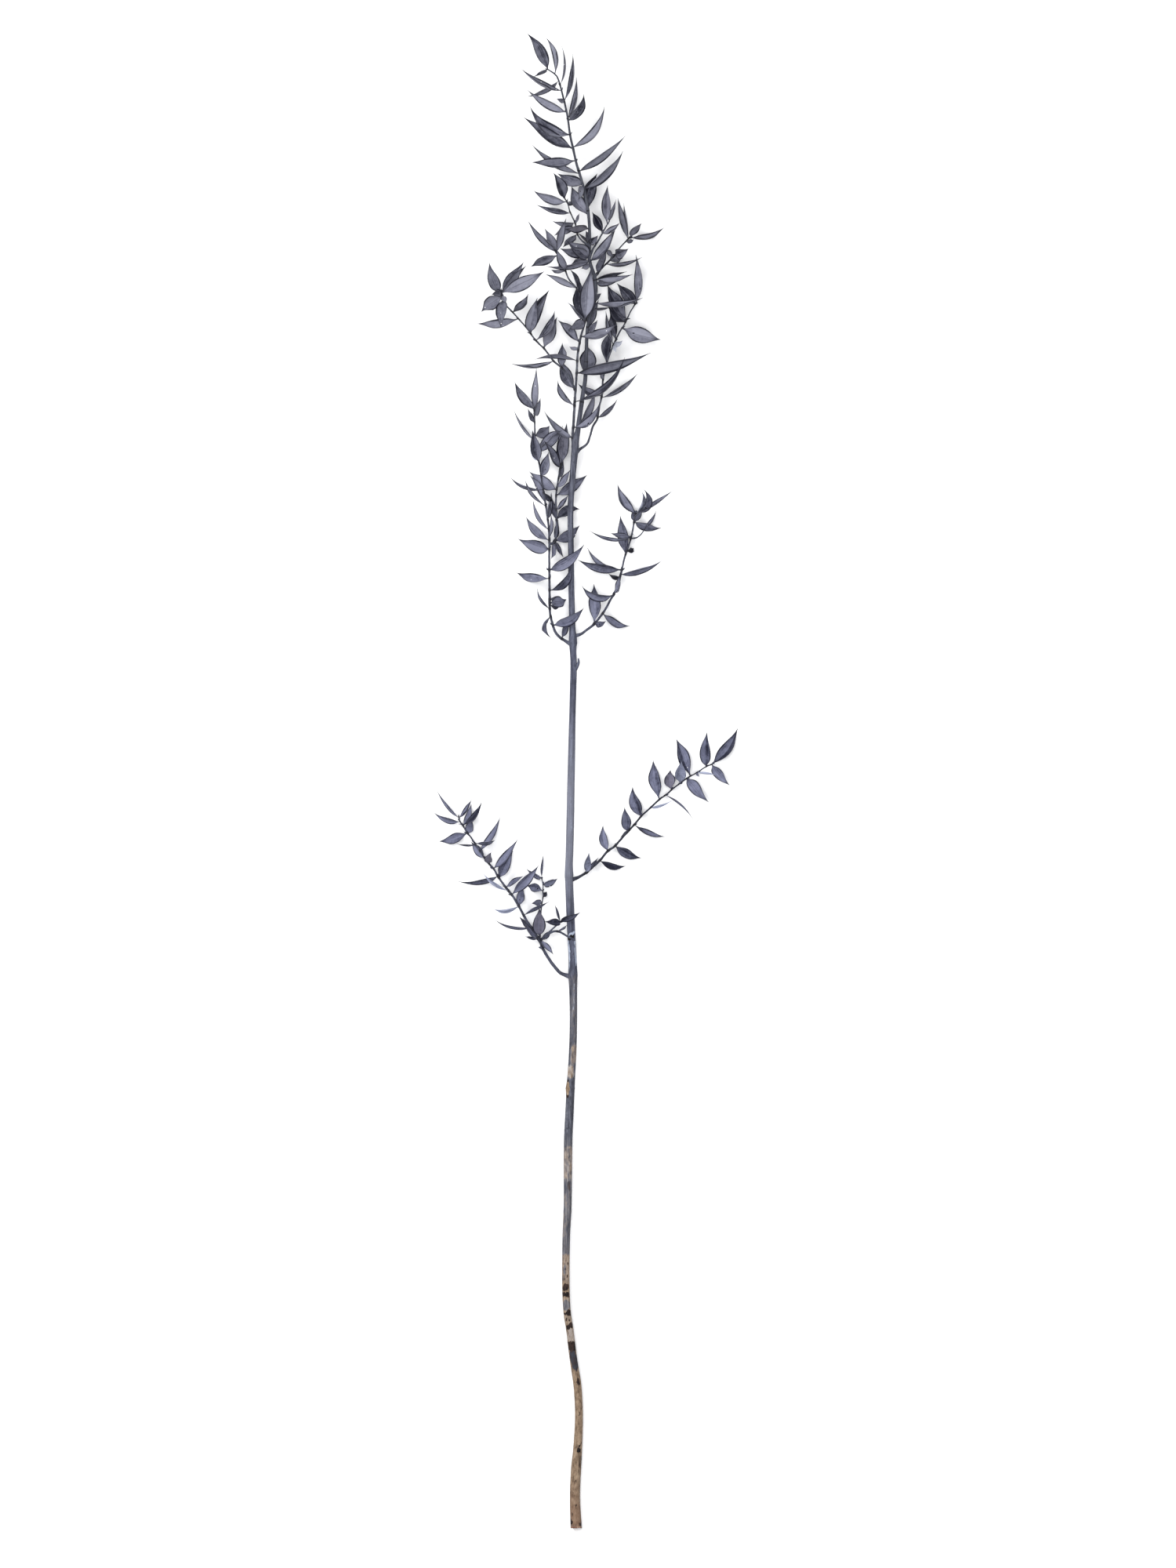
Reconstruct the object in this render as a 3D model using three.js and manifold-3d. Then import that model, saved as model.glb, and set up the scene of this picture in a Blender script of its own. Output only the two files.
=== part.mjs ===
// A cut stem of dried ruscus, lying on its back along +Y with its cut end toward -Y.
// Millimetres, +Z up. The origin is the flat spot under the stem, 12 mm from the cut end.
// The woody axis is one solid with the leaves of its top, and each leafy side spray is
// one solid: its blades are fused to its twigs, and it ends just short of the axis.

import * as THREE from 'three';
import { mergeVertices } from 'three/addons/utils/BufferGeometryUtils.js';
import Module from 'manifold-3d';

const wasm = await Module();
wasm.setup();

// ---------------------------------------------------------------- driving dimensions

const LEVEL_TO = 25; // the underside is level up to here, and then climbs
const CLIMB = 0.027; // climb of the underside, per mm of length
const STEM_SIDES = 8;
const TWIG_SIDES = 5;
const GAP = 0.3; // between a side spray and the axis that it grew from

const BLADE_THICKNESS = 0.9;
const BLADE_FOLD = 0.16; // depth of the fold along the midrib, per mm of half width
const BLADE_WIDTH = 0.24; // full width of a flat blade, per mm of its length
const BLADE_STEPS = [0, 0.28, 0.66, 1]; // stations along a blade
const BLADE_OUTLINE = [0.2, 0.94, 0.76, 0.05]; // half width there, as a share of the widest
const STEEPEST = 14; // the most that a blade's tip rises or drops, before it is bent clear
const CLEARANCE = 0.4; // kept round a blade as it is bent clear of the other sprays
const BENDS = [0, 3, -3, 6, -6, 9, -9, 12, -12, 15, -15, 19, -19, 24, -24];
const SEED = 7;

// The woody axis, from the cut end to the tip: x, y and full width.
const AXIS = [
  [0.3, -12, 7.7], [-0.5, 4, 7.1], [-0.5, 16, 7], [0.3, 30, 7], [1.3, 42, 6.2],
  [2.1, 58, 5.7], [2.1, 71, 5.5], [1.1, 87, 5.5], [-0.7, 99, 5.4], [-2.3, 110, 5.3],
  [-4.1, 125, 5.2], [-6, 138, 5.2], [-6.8, 153, 5.2], [-6.9, 172.5, 5.2], [-6.6, 192, 5.3],
  [-5.7, 211, 5.6], [-5.5, 238, 5.9], [-5.2, 260, 6], [-4.4, 277, 5.9], [-3.3, 301, 5.6],
  [-2.2, 320, 5.3], [-1.7, 342, 5.2], [-1.9, 364, 5.6], [-2.1, 373, 6.4], [-2.2, 383, 5.8],
  [-3, 399, 5.6], [-3.9, 418, 5.5], [-4.6, 437, 5.6], [-4.7, 443, 6.1], [-4.7, 450, 5.5],
  [-4.3, 462, 5.4], [-3.4, 506, 5.2], [-2.2, 560, 4.6], [-1.5, 587.5, 4.5], [-1.9, 599, 4.7],
  [-2, 606, 5.8], [-2.4, 615, 4.5], [-3.1, 642, 4.2], [-3.4, 669, 4.1], [-3.7, 697, 4.1],
  [-1.9, 724, 4.4], [-0.6, 738, 5], [-0.1, 745, 5], [1.4, 752, 3.8], [2.5, 760, 3.4],
  [3.9, 770, 3.3], [5.2, 779, 3.2], [6.6, 788, 3.1], [7.3, 805, 3], [7.9, 820, 2.9],
  [9.4, 830, 2.9], [12.2, 839, 2.8], [13.9, 848, 2.8], [13.9, 854, 2.8], [12.6, 861, 2.8],
  [10.2, 868, 2.7], [9.2, 874, 2.7], [9.6, 882, 2.6], [9.3, 897, 2.4],
  [7.3, 913, 2.3], [4.1, 926, 2.1], [0.6, 937.5, 2], [-2, 949, 1.9], [-4, 958, 1.8],
  [-6, 972, 1.6], [-9, 985, 1.5], [-12, 996, 1.3], [-14.5, 1000, 1.2], [-19.5, 1003.5, 1],
];

// Each spray has twigs and blades. A twig is a path of x and y, the lift of its two ends
// over the axis beside its foot, and the full width of its two ends. A blade is a row: x
// and y of its foot, x and y of its tip, the width that is seen from above, the bow of its
// midrib (+ to the left), and whether it leans up (1), down (-1) or either (0).

const LEADER = {
  name: 'main_stem',
  length: 32,
  twigs: [
    { path: [[-0.6, 586], [1.9, 590.5], [1.7, 593.5]],
      lift: [0, 0.8], width: [3, 1.4] },
    { path: [[9.2, 872], [12, 878.5], [15.5, 884], [18, 888.5], [20.5, 893], [23.5, 898]],
      lift: [0, 6.5], width: [2, 1.1] },
  ],
  blades: [
    [-19.5, 1003.5, -34, 1028.8, 6.4, -2.1, 0], [-14.2, 1000.8, -20.9, 1026, 3.3, -3.4, 0],
    [-20, 1003.8, -29.6, 998.4, 1.9, 0, 0], [-12.5, 995.5, -34.8, 984.8, 2.6, 2.4, 0],
    [-10.5, 988.4, -38.4, 1004.1, 3.4, 2.2, 0], [-10, 992.5, -9.8, 1020, 1, -2.7, 0],
    [-6.8, 981.5, -2.1, 1014, 3, -2.2, 0], [-8, 980.8, -13.2, 982.8, 2.6, 0, 1],
    [-8, 973.3, -33.7, 989.4, 5.2, 2, 0], [-3.9, 969, 0.5, 998, 3.3, -1.7, 0],
    [-4, 968, 5.6, 985.8, 5.8, -3.1, 0], [-5, 957.8, -31.8, 977.3, 6, 5.2, 0],
    [-3, 947.8, -36.4, 970, 7, 0.8, 0], [-1, 949.5, 20, 978, 4.6, -5, 0],
    [-1, 939.7, -31, 938.5, 6.8, 0.8, 0], [1.5, 930.5, -30.8, 951.6, 4.5, 3, 0],
    [3.5, 922.8, -12.5, 931.2, 5.5, 0.6, 0], [3.5, 922, 2, 912.3, 4.2, 0, 0],
    [6.5, 920.5, 32.8, 946.8, 5.4, -3.8, 0], [10.3, 905.5, 14.8, 931.2, 7, 1.8, -1],
    [4, 933, 34.5, 957, 4.7, -2.1, 0], [9, 902, -3, 922.5, 7.4, 1.2, 0],
    [9.5, 892.5, -7, 892, 5, 0, 0], [9.4, 873, -6.5, 884, 8.5, 0, 1],
    [9.4, 875, -10.8, 878.6, 5.5, 1.2, 1], [9.6, 870, -20.5, 866.3, 3.2, 2.6, 1],
    [12.8, 841, 46.5, 844.3, 3.5, -2.5, 1], [13.6, 857, 39.7, 860.7, 3.4, -1.4, 1],
    [13.8, 857.2, 35.5, 863, 3, 0, -1], [11.6, 835.8, 24, 838, 1.7, 0, 0],
    [9.6, 870, -3.4, 868, 5, -0.6, -1], [10.4, 868, 4, 865, 4, 0, -1],
    [9.6, 881, 15.4, 887.6, 4.5, 0, 0], [11, 870, 28, 893.6, 5, -1.8, 1],
    [22.8, 895, 22.2, 922.5, 6, 1, 0], [18.6, 890, 11.4, 904.4, 5.5, 0, -1],
    [23.4, 897.5, 28, 913, 2.4, 0, 0], [18.4, 889, 30.6, 896.4, 3.4, -1, 1],
    [6.8, 790, 7.6, 812, 11.5, -1.2, -1], [2.2, 756, 12.6, 780.6, 4.5, -3, -1],
    [8.4, 824, 16, 843, 7, 1, -1], [8, 821.5, 15, 828.8, 4.4, -1, 1],
    [14, 842, 17.8, 848, 2.2, 0, 0], [13.8, 855.2, 31, 857.6, 4.6, -1.2, -1],
    [8.8, 882.5, 7, 891.5, 2.4, 0, -1], [9.6, 881, 1, 890.2, 1.6, -0.8, -1],
  ],
};

const LOWER_LEFT = {
  name: 'lower_left',
  length: 25,
  twigs: [
    { path: [[-2, 371.3], [-6.1, 372.5], [-9.8, 373.8], [-12.6, 376.1], [-15.6, 379.8], [-18.8, 384.2],
      [-21.4, 388.5], [-23.2, 392], [-25, 396.2], [-28.3, 401.6], [-30.4, 404.9],
      [-32.9, 408.7], [-34.9, 412], [-37, 415.8], [-39.7, 420.8], [-43.7, 427.6],
      [-48.2, 433.2], [-51.4, 437.5], [-54.6, 442.2], [-57, 446.6], [-60.2, 450.2],
      [-63.4, 454.2], [-66.7, 459.2], [-70, 464.2], [-73.2, 469], [-75.8, 472], [-78.4, 476.6],
      [-80.8, 480], [-81.4, 482.4]],
      lift: [0, -6], width: [3.2, 1.1] },
    { path: [[-25, 396.6], [-22, 399.6], [-18, 403.4], [-14.5, 406.6], [-11.5, 409.3], [-9.5, 410.8]],
      lift: [-2.6, 6.5], width: [1.8, 1.2] },
    { path: [[-20, 401.5], [-15.5, 403.3], [-12, 403.2], [-9.3, 402], [-6, 400], [-3, 398.6],
      [-0.6, 397.4]],
      lift: [0.6, 5], width: [2, 1.7] },
    { path: [[-25.4, 397], [-24.8, 403], [-24.6, 410], [-24.3, 417], [-23.8, 422], [-22.8, 427.5],
      [-23, 431], [-22.8, 435.5], [-23.8, 440.6]],
      lift: [-2.6, -1], width: [1.5, 0.9] },
  ],
  blades: [
    [-81.2, 482.7, -96.6, 501, 2, 1.4, -1], [-81, 479.6, -98.8, 486.1, 3.5, 2.3, 0],
    [-80.6, 483, -72.4, 495.4, 2.8, -0.6, 1], [-76.9, 478.6, -65.4, 494.2, 3.8, -2.4, 1],
    [-76.8, 477.6, -72.8, 492.6, 3.8, -0.7, -1], [-74.6, 471.5, -72, 480.6, 5.6, 0.4, 0],
    [-76, 471.6, -95.4, 466, 6.6, 1.2, 0], [-66, 460, -52.7, 483, 4.3, -1.4, -1],
    [-69.3, 465.6, -56.2, 466.9, 2.7, -1.5, 1], [-71.2, 462.8, -83, 464.5, 1.2, 1, 0],
    [-63.5, 454, -72.8, 465.6, 5.6, 0.4, 0], [-60.7, 450.3, -59, 458.3, 5.2, 1, 1],
    [-57, 447.3, -40.2, 467.9, 5, -0.9, 0], [-53, 441, -43.8, 459.6, 7.2, 0, -1],
    [-54.6, 441.6, -82, 438.2, 3.4, 2.8, -1], [-47.6, 431, -64.5, 443.8, 2.2, 1.9, 1],
    [-48.6, 434.2, -36.6, 441.8, 3.4, 0.4, 0], [-44, 429.6, -25.9, 449.3, 6.3, -1.1, 1],
    [-39.6, 421, -36.4, 434.6, 5.6, 0.3, -1], [-40.5, 420.5, -57.3, 419, 2.7, 2.5, 1],
    [-31, 406, -56.8, 411.8, 2, 3, 0], [-31, 404, -39.5, 413.9, 3.3, 0.7, -1],
    [-34.5, 415.5, -18.7, 423.9, 2.5, 0.2, 1], [-24, 423, -30.6, 422.8, 4.6, -0.3, 0],
    [-24, 400, -25.2, 419.8, 9, 0.4, 1], [-10.6, 410.2, 3.2, 416.7, 4.2, -0.4, 1],
    [-11.6, 411, -14.6, 421.9, 1.6, -0.1, 0], [-10.8, 411, -21.6, 410.3, 4.9, 0.5, 0],
    [-23.5, 396.4, -15.7, 387.3, 3.6, 0.3, 0], [-26, 398.5, -35.2, 399.9, 1.9, 0.5, 0],
    [-12.4, 403.6, -6.2, 407.8, 1.5, -0.4, 1], [-23.2, 392, -26.2, 392.3, 1.8, 0, 0],
    [-24, 398, -16.5, 403.5, 3.5, 0, -1], [-23.6, 440.3, -22.5, 457.2, 1.5, 0.4, 0],
    [-23, 431.5, -33.9, 435, 5.8, -0.4, -1], [-23, 435.8, -12.7, 440.3, 4, -1.1, 0],
    [-23.8, 440.3, -34.3, 446.8, 2.8, 0.9, 0], [-22.8, 427, -20.2, 431, 3, 0, 0],
    [-26.6, 399, -36.2, 412.4, 2.8, 1.7, 0],
  ],
};

const LOWER_RIGHT = {
  name: 'lower_right',
  length: 24,
  twigs: [
    { path: [[-3.5, 439.2], [-1, 440], [2, 441.2], [7, 444.2], [12, 448.4], [17, 453], [22, 459],
      [27, 462.6], [31, 467], [36, 472.6], [41, 478], [46, 484], [51, 488.5], [58, 495],
      [64, 499.4], [67, 502.2], [73, 506.8], [78, 510.4], [84, 513.7], [90, 517.6], [95, 519.9]],
      lift: [0, -8], width: [2.6, 1] },
  ],
  blades: [
    [7, 444.5, 9.1, 458.2, 4.7, -0.4, 1], [8, 445, 15.8, 454.8, 2.5, 0, 0],
    [17.5, 452, 34.8, 448.9, 4.5, -2.4, 0], [22.2, 459.5, 19, 477.3, 5.7, 1.5, 0],
    [28, 462.5, 45.7, 454.5, 6.2, -1.9, -1], [35.6, 473, 34, 489.8, 6.8, 0.3, 0],
    [37, 473.5, 30.8, 468.5, 2, 0, 1], [45, 484, 39.6, 504.2, 7.7, 1.9, 0],
    [41, 477.5, 62.4, 469.3, 3.6, -1.8, -1], [58, 495.5, 53.9, 522.6, 8, 1, 0],
    [66.5, 502.3, 66, 515.8, 7.5, 1, -1], [72.5, 506.5, 73.6, 522, 7.5, 0, 1],
    [79.8, 511.5, 70, 537.4, 8.2, -0.3, 0], [90.5, 519, 91.6, 542.6, 7.4, 1, 0],
    [95, 520, 112.8, 544.8, 7.5, -1.9, 0], [77.5, 509.5, 92.5, 493.3, 7.8, -0.4, 0],
    [95, 519.5, 107, 505.3, 6.3, -1.1, 0], [85, 514, 97.2, 512.6, 1.5, 0, 1],
    [62.5, 498.2, 81.7, 481.3, 1.3, 2, 0], [52, 489.5, 66.6, 494.3, 1.6, -1, -1],
    [84, 513.5, 86, 511, 1.6, 0, 0],
  ],
};

const MID_LEFT = {
  name: 'mid_left',
  length: 30,
  twigs: [
    { path: [[-2, 602.5], [-5, 604.2], [-8, 606], [-11.6, 608.6], [-14.3, 612], [-16.1, 617],
      [-17.5, 622.6], [-18.1, 628], [-18.3, 640], [-18.4, 652], [-18.5, 662], [-18.4, 673],
      [-18.8, 684], [-20, 694], [-21.4, 703], [-22.9, 712], [-24.6, 724], [-26.2, 733],
      [-28.3, 745], [-28.6, 757], [-29, 767]],
      lift: [0, -3], width: [2.6, 1.4] },
    { path: [[-18.4, 673], [-15, 674.5], [-13.4, 680], [-13.4, 690], [-13.9, 702], [-13.4, 710],
      [-12.2, 718], [-11, 725], [-9.6, 731]],
      lift: [-3.8, -8], width: [2, 1.6] },
  ],
  blades: [
    [-18, 622.5, -17.3, 607.8, 3.2, -4.7, -1], [-16.2, 616.5, 5.6, 628.6, 6.7, -2.7, 1],
    [-9.8, 607, -3.5, 619, 4.4, 0.9, -1], [-18.2, 628, -26.7, 642, 1.9, 2.1, 0],
    [-18, 632.4, -6.6, 634.7, 7.6, -1, -1], [-18.3, 641, -4, 657.5, 5.5, -5, 1],
    [-18.6, 649.2, -41.4, 653.3, 6.2, 1.6, 0], [-18.5, 655, 6, 673, 7.5, -2.8, 1],
    [-18.5, 669.5, -40.2, 676.7, 8.7, 1.2, 0], [-18.6, 675.6, -34.7, 692.3, 5.5, 2.2, 0],
    [-18.8, 682.8, -29.8, 704.2, 2.7, 2.5, 0], [-14, 675, 2.6, 686.1, 7.4, -1.6, -1],
    [-14.6, 674, -17.2, 663, 3.4, 0.8, 0], [-14, 675, -8.7, 664, 3, 0, 0],
    [-13.3, 690, 2.7, 697.6, 6.6, 3, -1], [-13.4, 697, -5.3, 707.3, 3.2, -0.6, 1],
    [-13.2, 707, 7.8, 721.5, 7.6, -1.1, -1], [-12.8, 712.6, -3.8, 724.8, 4.4, -0.5, 1],
    [-20.9, 699.5, -35.2, 717.4, 2.4, 2.4, 1], [-22.9, 711, -45.7, 719.7, 2.2, 3.2, 0],
    [-14.2, 711, -32.5, 723.8, 7.6, 0.7, 0], [-20.8, 700.5, -32.6, 721.6, 4.4, -2, 0],
    [-11.2, 726, -22, 744.8, 5.6, -0.8, 1], [-24, 720, -19, 737, 6.4, -0.4, 0],
    [-9.8, 729, -6.3, 757.2, 7.8, 0, 1], [-11, 727, -9.3, 755.5, 4.4, 1.2, -1],
    [-26.4, 736, -9.4, 751.6, 7.4, 0.6, -1], [-25.7, 729.5, -30.2, 752.2, 7.2, 0.2, 1],
    [-28.6, 748.5, -18.4, 755.7, 7.2, -1.3, -1], [-28.4, 745, -43.2, 766.8, 1.8, 1.8, 0],
    [-29, 767, -42.6, 786, 6, 1.6, 0], [-29, 766, -27.4, 796.2, 4.7, 0, 0],
    [-28.7, 762, -24.6, 775, 3.6, -0.6, -1], [-28.7, 758, -33.2, 767.6, 3, 0.8, 1],
    [-18.6, 677, -17.4, 694, 2.6, -1, -1], [-19.6, 690, -17, 709, 3.4, -0.6, -1],
    [-13.3, 690, -17.4, 708, 4, 0.4, -1], [-14, 676, -12.3, 690, 3.6, -0.2, 0],
    [-22.4, 709, -16, 701, 3.6, 0, -1], [-11.8, 719, -8.6, 731.6, 3.6, -0.5, -1],
    [-18.2, 634.6, -9.4, 635, 3.6, 0.2, -1], [-18.1, 630.4, -10.8, 629.6, 4, -0.2, -1],
    [-25.6, 737.5, -9.6, 751.8, 4.2, 2.8, 1], [-26.2, 731.5, -31.9, 739, 2.6, 0.5, -1],
  ],
};

const MID_RIGHT = {
  name: 'mid_right',
  length: 27,
  twigs: [
    { path: [[-2, 608.4], [0.6, 609.5], [4, 610.7], [8, 613.6], [12.5, 617.1], [16, 621.3],
      [18.8, 624.9], [21.3, 628.9], [23.8, 633.7], [26.5, 638.2], [28.5, 643], [30.3, 647],
      [30.9, 650.5], [32, 655], [33.3, 661], [34.7, 666], [36.5, 671], [38, 676], [39.5, 682],
      [40.5, 688], [42, 695]],
      lift: [0, -8], width: [2.4, 1.5] },
    { path: [[38.3, 677], [42, 677.5], [45.2, 679.7], [48, 683.6]],
      lift: [-9, -11], width: [1.2, 1] },
  ],
  blades: [
    [12.9, 617.4, 12.6, 645.3, 8.2, -0.5, -1], [26.5, 638, 4.4, 643.8, 5.2, 5.4, 1],
    [19, 624.8, 37.6, 616.2, 4.9, -2.7, 0], [14, 617.4, 20.9, 619.4, 4, -1.4, 1],
    [32, 655.5, 1.5, 662.1, 6, 2.6, 1], [31.5, 655, 8.1, 670.6, 3.2, 4.6, -1],
    [31.2, 650.6, 22.8, 652.6, 2.8, 1.8, 1], [31.3, 652, 60.3, 661.9, 3.5, -2.6, 0],
    [34.8, 666, 31, 693, 7.2, 0.2, -1], [38.6, 678.5, 24.1, 680.8, 4.4, 1, 1],
    [38, 676.5, 9.7, 682.4, 2.4, 3, 0], [36, 668, 40.3, 670.5, 3.5, -0.8, 0],
    [40.7, 689, 59.5, 684.6, 4.5, -2.3, 0], [48, 683.6, 56, 696.3, 2.4, -0.7, 0],
    [41.8, 694, 29, 715.1, 5.1, 2.1, 0], [42, 695, 47.5, 711.2, 4.9, -6.4, 1],
    [42, 694.5, 68.1, 710.7, 2.3, -0.8, 0], [40.6, 688, 46.5, 697, 3.6, 0, 1],
    [26.8, 638.5, 30.2, 651, 3.6, -1.1, 1], [42, 695, 46.1, 709.3, 2.6, -3.2, 0],
    [40.4, 688.6, 40.5, 697.8, 4.2, 0, -1],
  ],
};

const CROWN_FRONT = {
  name: 'crown_front',
  length: 31,
  twigs: [
    { path: [[-1, 736], [-2.2, 745], [-1.8, 754], [-1.1, 765.5], [-0.3, 779], [0.6, 792], [1.3, 804.5],
      [2.4, 811.6], [3.9, 819], [6.4, 828], [5.4, 838], [2, 849], [-4.6, 857], [-7.6, 864],
      [-10.8, 871], [-14, 876.5]],
      lift: [-1, 15], width: [2.6, 1.2] },
    { path: [[-0.4, 780], [-4, 788], [-9, 795], [-15, 800], [-18.5, 804.5], [-22, 809], [-26, 812.8],
      [-30, 817.5], [-33, 822], [-36, 825.5], [-40, 830], [-44, 834.5], [-50, 841], [-52, 848]],
      lift: [2.2, 6], width: [1.9, 1.2] },
  ],
  blades: [
    [6.6, 829, 10.8, 865.6, 10.5, 0, 1], [6.2, 829, 2.4, 858, 8, 1, -1],
    [5, 828, -5.6, 841.3, 3, -0.8, 0], [2.6, 813, -12.3, 829, 6, -0.9, 0],
    [4.8, 828, -5, 822, 7, 0, 0], [2.2, 808, -4.5, 810.5, 2.5, 0, -1],
    [2.8, 817.5, 29, 826.5, 5.5, -2.3, 0], [0.8, 792, 52.2, 806, 6.4, -2.2, 1],
    [-0.4, 772, 34, 802.6, 4.5, -6.4, 1], [1, 800.5, -28.6, 801.6, 3, -2.7, -1],
    [-1.1, 769.5, -12.5, 786.7, 3.8, 3, 0], [-0.5, 781, -10.5, 802, 8.4, 1.4, 0],
    [-2.2, 747, -21.9, 765.4, 4.5, 2.4, 1], [-1.4, 754, 16.6, 771.6, 5, -4.3, 1],
    [-15.5, 800.5, -46, 798.8, 3, 3, 0], [-10, 795.5, -9.4, 813.2, 6, 0, 0],
    [-22, 809.5, -13.1, 831.2, 8, 0.3, 0], [-27, 815.5, -14.7, 835.6, 5, -2.6, -1],
    [-31.5, 819.5, -18.3, 850.4, 6, 1.8, -1], [-31.5, 820, -26.7, 844, 8.4, 1.1, 1],
    [-43.6, 834.8, -33.1, 847.2, 5.2, -1.4, -1], [-41, 828.8, -69, 826.7, 6, 1.5, 0],
    [-51.6, 842.5, -52, 823.4, 6.8, -0.8, 0], [-51.5, 845, -65.8, 834.8, 9.2, -1.2, 0],
    [-52, 848, -60, 868.6, 7.6, 1.9, 0], [-51.8, 848.6, -22, 862.6, 9, -1, 1],
    [-51.8, 848, -36.3, 869.6, 7.4, -0.4, 0], [-50.5, 846, -48.5, 840.5, 3.5, 0, 0],
    [-13.8, 876, -33.6, 898.2, 3.8, 1.5, 0], [-13.8, 877, -21.8, 892.8, 5.5, -0.8, 0],
    [-13.5, 875.5, -6.7, 899.7, 4.8, 0.2, 0], [-7.4, 863.4, -13.6, 878, 5, 0, 1],
    [-13, 873.5, -31.4, 866.1, 6.1, -0.5, 0], [-12.5, 872, -8, 863, 4.5, 0, -1],
    [0.4, 851, -21.4, 861, 3, -0.4, 0], [-8.4, 862.4, -17.6, 864.2, 2.4, 0.8, 0],
    [2.2, 849, -4.2, 864, 3, -1.8, 1], [-51.8, 848.8, -58.4, 846.6, 5, 0, 0],
    [-51.6, 848.4, -34.4, 867.2, 4, 0.3, 0],
  ],
};

const CROWN_RIGHT = {
  name: 'crown_right',
  length: 31,
  twigs: [
    { path: [[-0.4, 736], [2.4, 738.8], [7.9, 743], [10.1, 749], [11.9, 755], [15, 760.5], [16.4, 769],
      [18.2, 777], [19, 788], [21.8, 800], [25.1, 809], [30.1, 820], [33.5, 825.6], [36, 830.5],
      [38.5, 835.7], [42.5, 842]],
      lift: [-1.5, -8], width: [2.2, 1.2] },
  ],
  blades: [
    [32.5, 823.5, 59, 815.3, 10, -1, 0], [41.5, 841, 41.8, 874.5, 5.5, -1.8, 0],
    [35.5, 829.5, 22, 854, 8.4, 0.8, -1], [41, 840.4, 28.6, 854.6, 8, 0, 0],
    [26, 811.5, 20.9, 835.5, 3, 0.8, -1], [34.5, 827.5, 22, 839.5, 8.5, 0, -1],
    [28, 815, 24, 833, 6, 0, -1], [21.6, 799, 25, 822, 6.5, 2.1, -1],
    [18.3, 774.8, 43.2, 792.2, 3.2, -2.4, 0], [15.6, 761, 29, 774, 3, -1.8, 0],
    [26.6, 812, 32.5, 814.8, 3.6, -1, 1], [26.4, 811.5, 28, 806.6, 2.4, 0, 1],
    [19, 788, 16.8, 792.4, 2.2, 0, 1], [17.8, 776.4, 1.6, 784.8, 5, 1.5, -1],
  ],
};

const TOP_LEFT = {
  name: 'top_left',
  length: 28,
  twigs: [
    { path: [[10.2, 880], [7, 882.3], [4, 884.5], [1, 889], [-0.3, 896], [-2.5, 901], [-4.2, 905],
      [-5.6, 910], [-7.8, 914]],
      lift: [0, -4], width: [1.6, 1] },
  ],
  blades: [
    [-7.8, 913.5, -15.5, 931.2, 5.8, -1.2, 0], [-6, 911.6, -29.5, 919.6, 5.4, 2.3, 0],
    [-3.8, 903.4, -27.8, 909.6, 3.4, 1.1, 0], [-0.6, 897, -16.5, 898.5, 3, 2, 0],
    [0, 893, -14.8, 888.2, 5, -1, -1], [-0.2, 896, 2.5, 903, 1.6, 0, 0],
    [1.2, 889, -9, 880, 4, 0, -1], [-5.6, 911, -1.4, 909.4, 2.6, 0, 0],
  ],
};

const TOP_RIGHT = {
  name: 'top_right',
  length: 29,
  twigs: [
    { path: [[12.6, 858.5], [15, 861.4], [18.6, 865.6], [23, 870], [27, 874], [30.8, 879.5], [36, 885],
      [38, 887]],
      lift: [0, -6], width: [1.8, 1] },
  ],
  blades: [
    [36.3, 885.5, 29.3, 914.2, 4.4, 0.4, 0], [37, 886, 33.5, 910.8, 1.8, 0.6, 0],
    [37.5, 887, 45.8, 896.2, 4.2, 0.4, 0], [37.8, 886.5, 61.5, 893.8, 3.5, -2.8, -1],
    [27.4, 874, 36.6, 878.4, 5.6, -0.6, 1], [15, 861.5, 21.8, 877.8, 4.5, 0.5, 1],
    [23, 870.5, 32.6, 872.2, 4.5, 0.8, -1], [21, 868, 46.2, 873, 2.8, -2.3, -1],
    [26, 873, 21.4, 878, 3, 0, -1], [35, 884, 40.2, 885.4, 2.2, -0.8, 0],
  ],
};

const SPRAYS = [CROWN_FRONT, CROWN_RIGHT, TOP_LEFT, TOP_RIGHT, MID_LEFT, MID_RIGHT, LOWER_LEFT, LOWER_RIGHT];

// ---------------------------------------------------------------- basic shapes

const UP = new THREE.Vector3(0, 0, 1);

// A repeatable draw between 0 and 1.
let seed = SEED;
function draw() {
  seed = (seed * 16807) % 2147483647;
  return seed / 2147483647;
}

// Joins rings of equal length into one closed skin. Both faces of a blade are split
// along the same diagonals, so that they never cross.
function loft(rings) {
  const sides = rings[0].length;
  const last = (rings.length - 1) * sides;
  const faces = [];
  for (let i = 0; i < last; i += sides) {
    for (let j = 0; j < sides; j++) {
      const a = i + j;
      const b = i + ((j + 1) % sides);
      if (j < sides / 2) {
        faces.push(a, b, b + sides, a, b + sides, a + sides);
      } else {
        faces.push(a, b, a + sides, b, b + sides, a + sides);
      }
    }
  }
  for (let j = 1; j + 1 < sides; j++) {
    faces.push(0, j + 1, j, last, last + j, last + j + 1);
  }
  const geometry = new THREE.BufferGeometry().setFromPoints(rings.flat());
  geometry.setIndex(faces);
  return geometry;
}

// The left and the upward direction of a section across a line with this tangent.
function sectionAxes(tangent) {
  const left = new THREE.Vector3().crossVectors(UP, tangent).normalize();
  const up = new THREE.Vector3().crossVectors(tangent, left).normalize();
  return [left, up];
}

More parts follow.
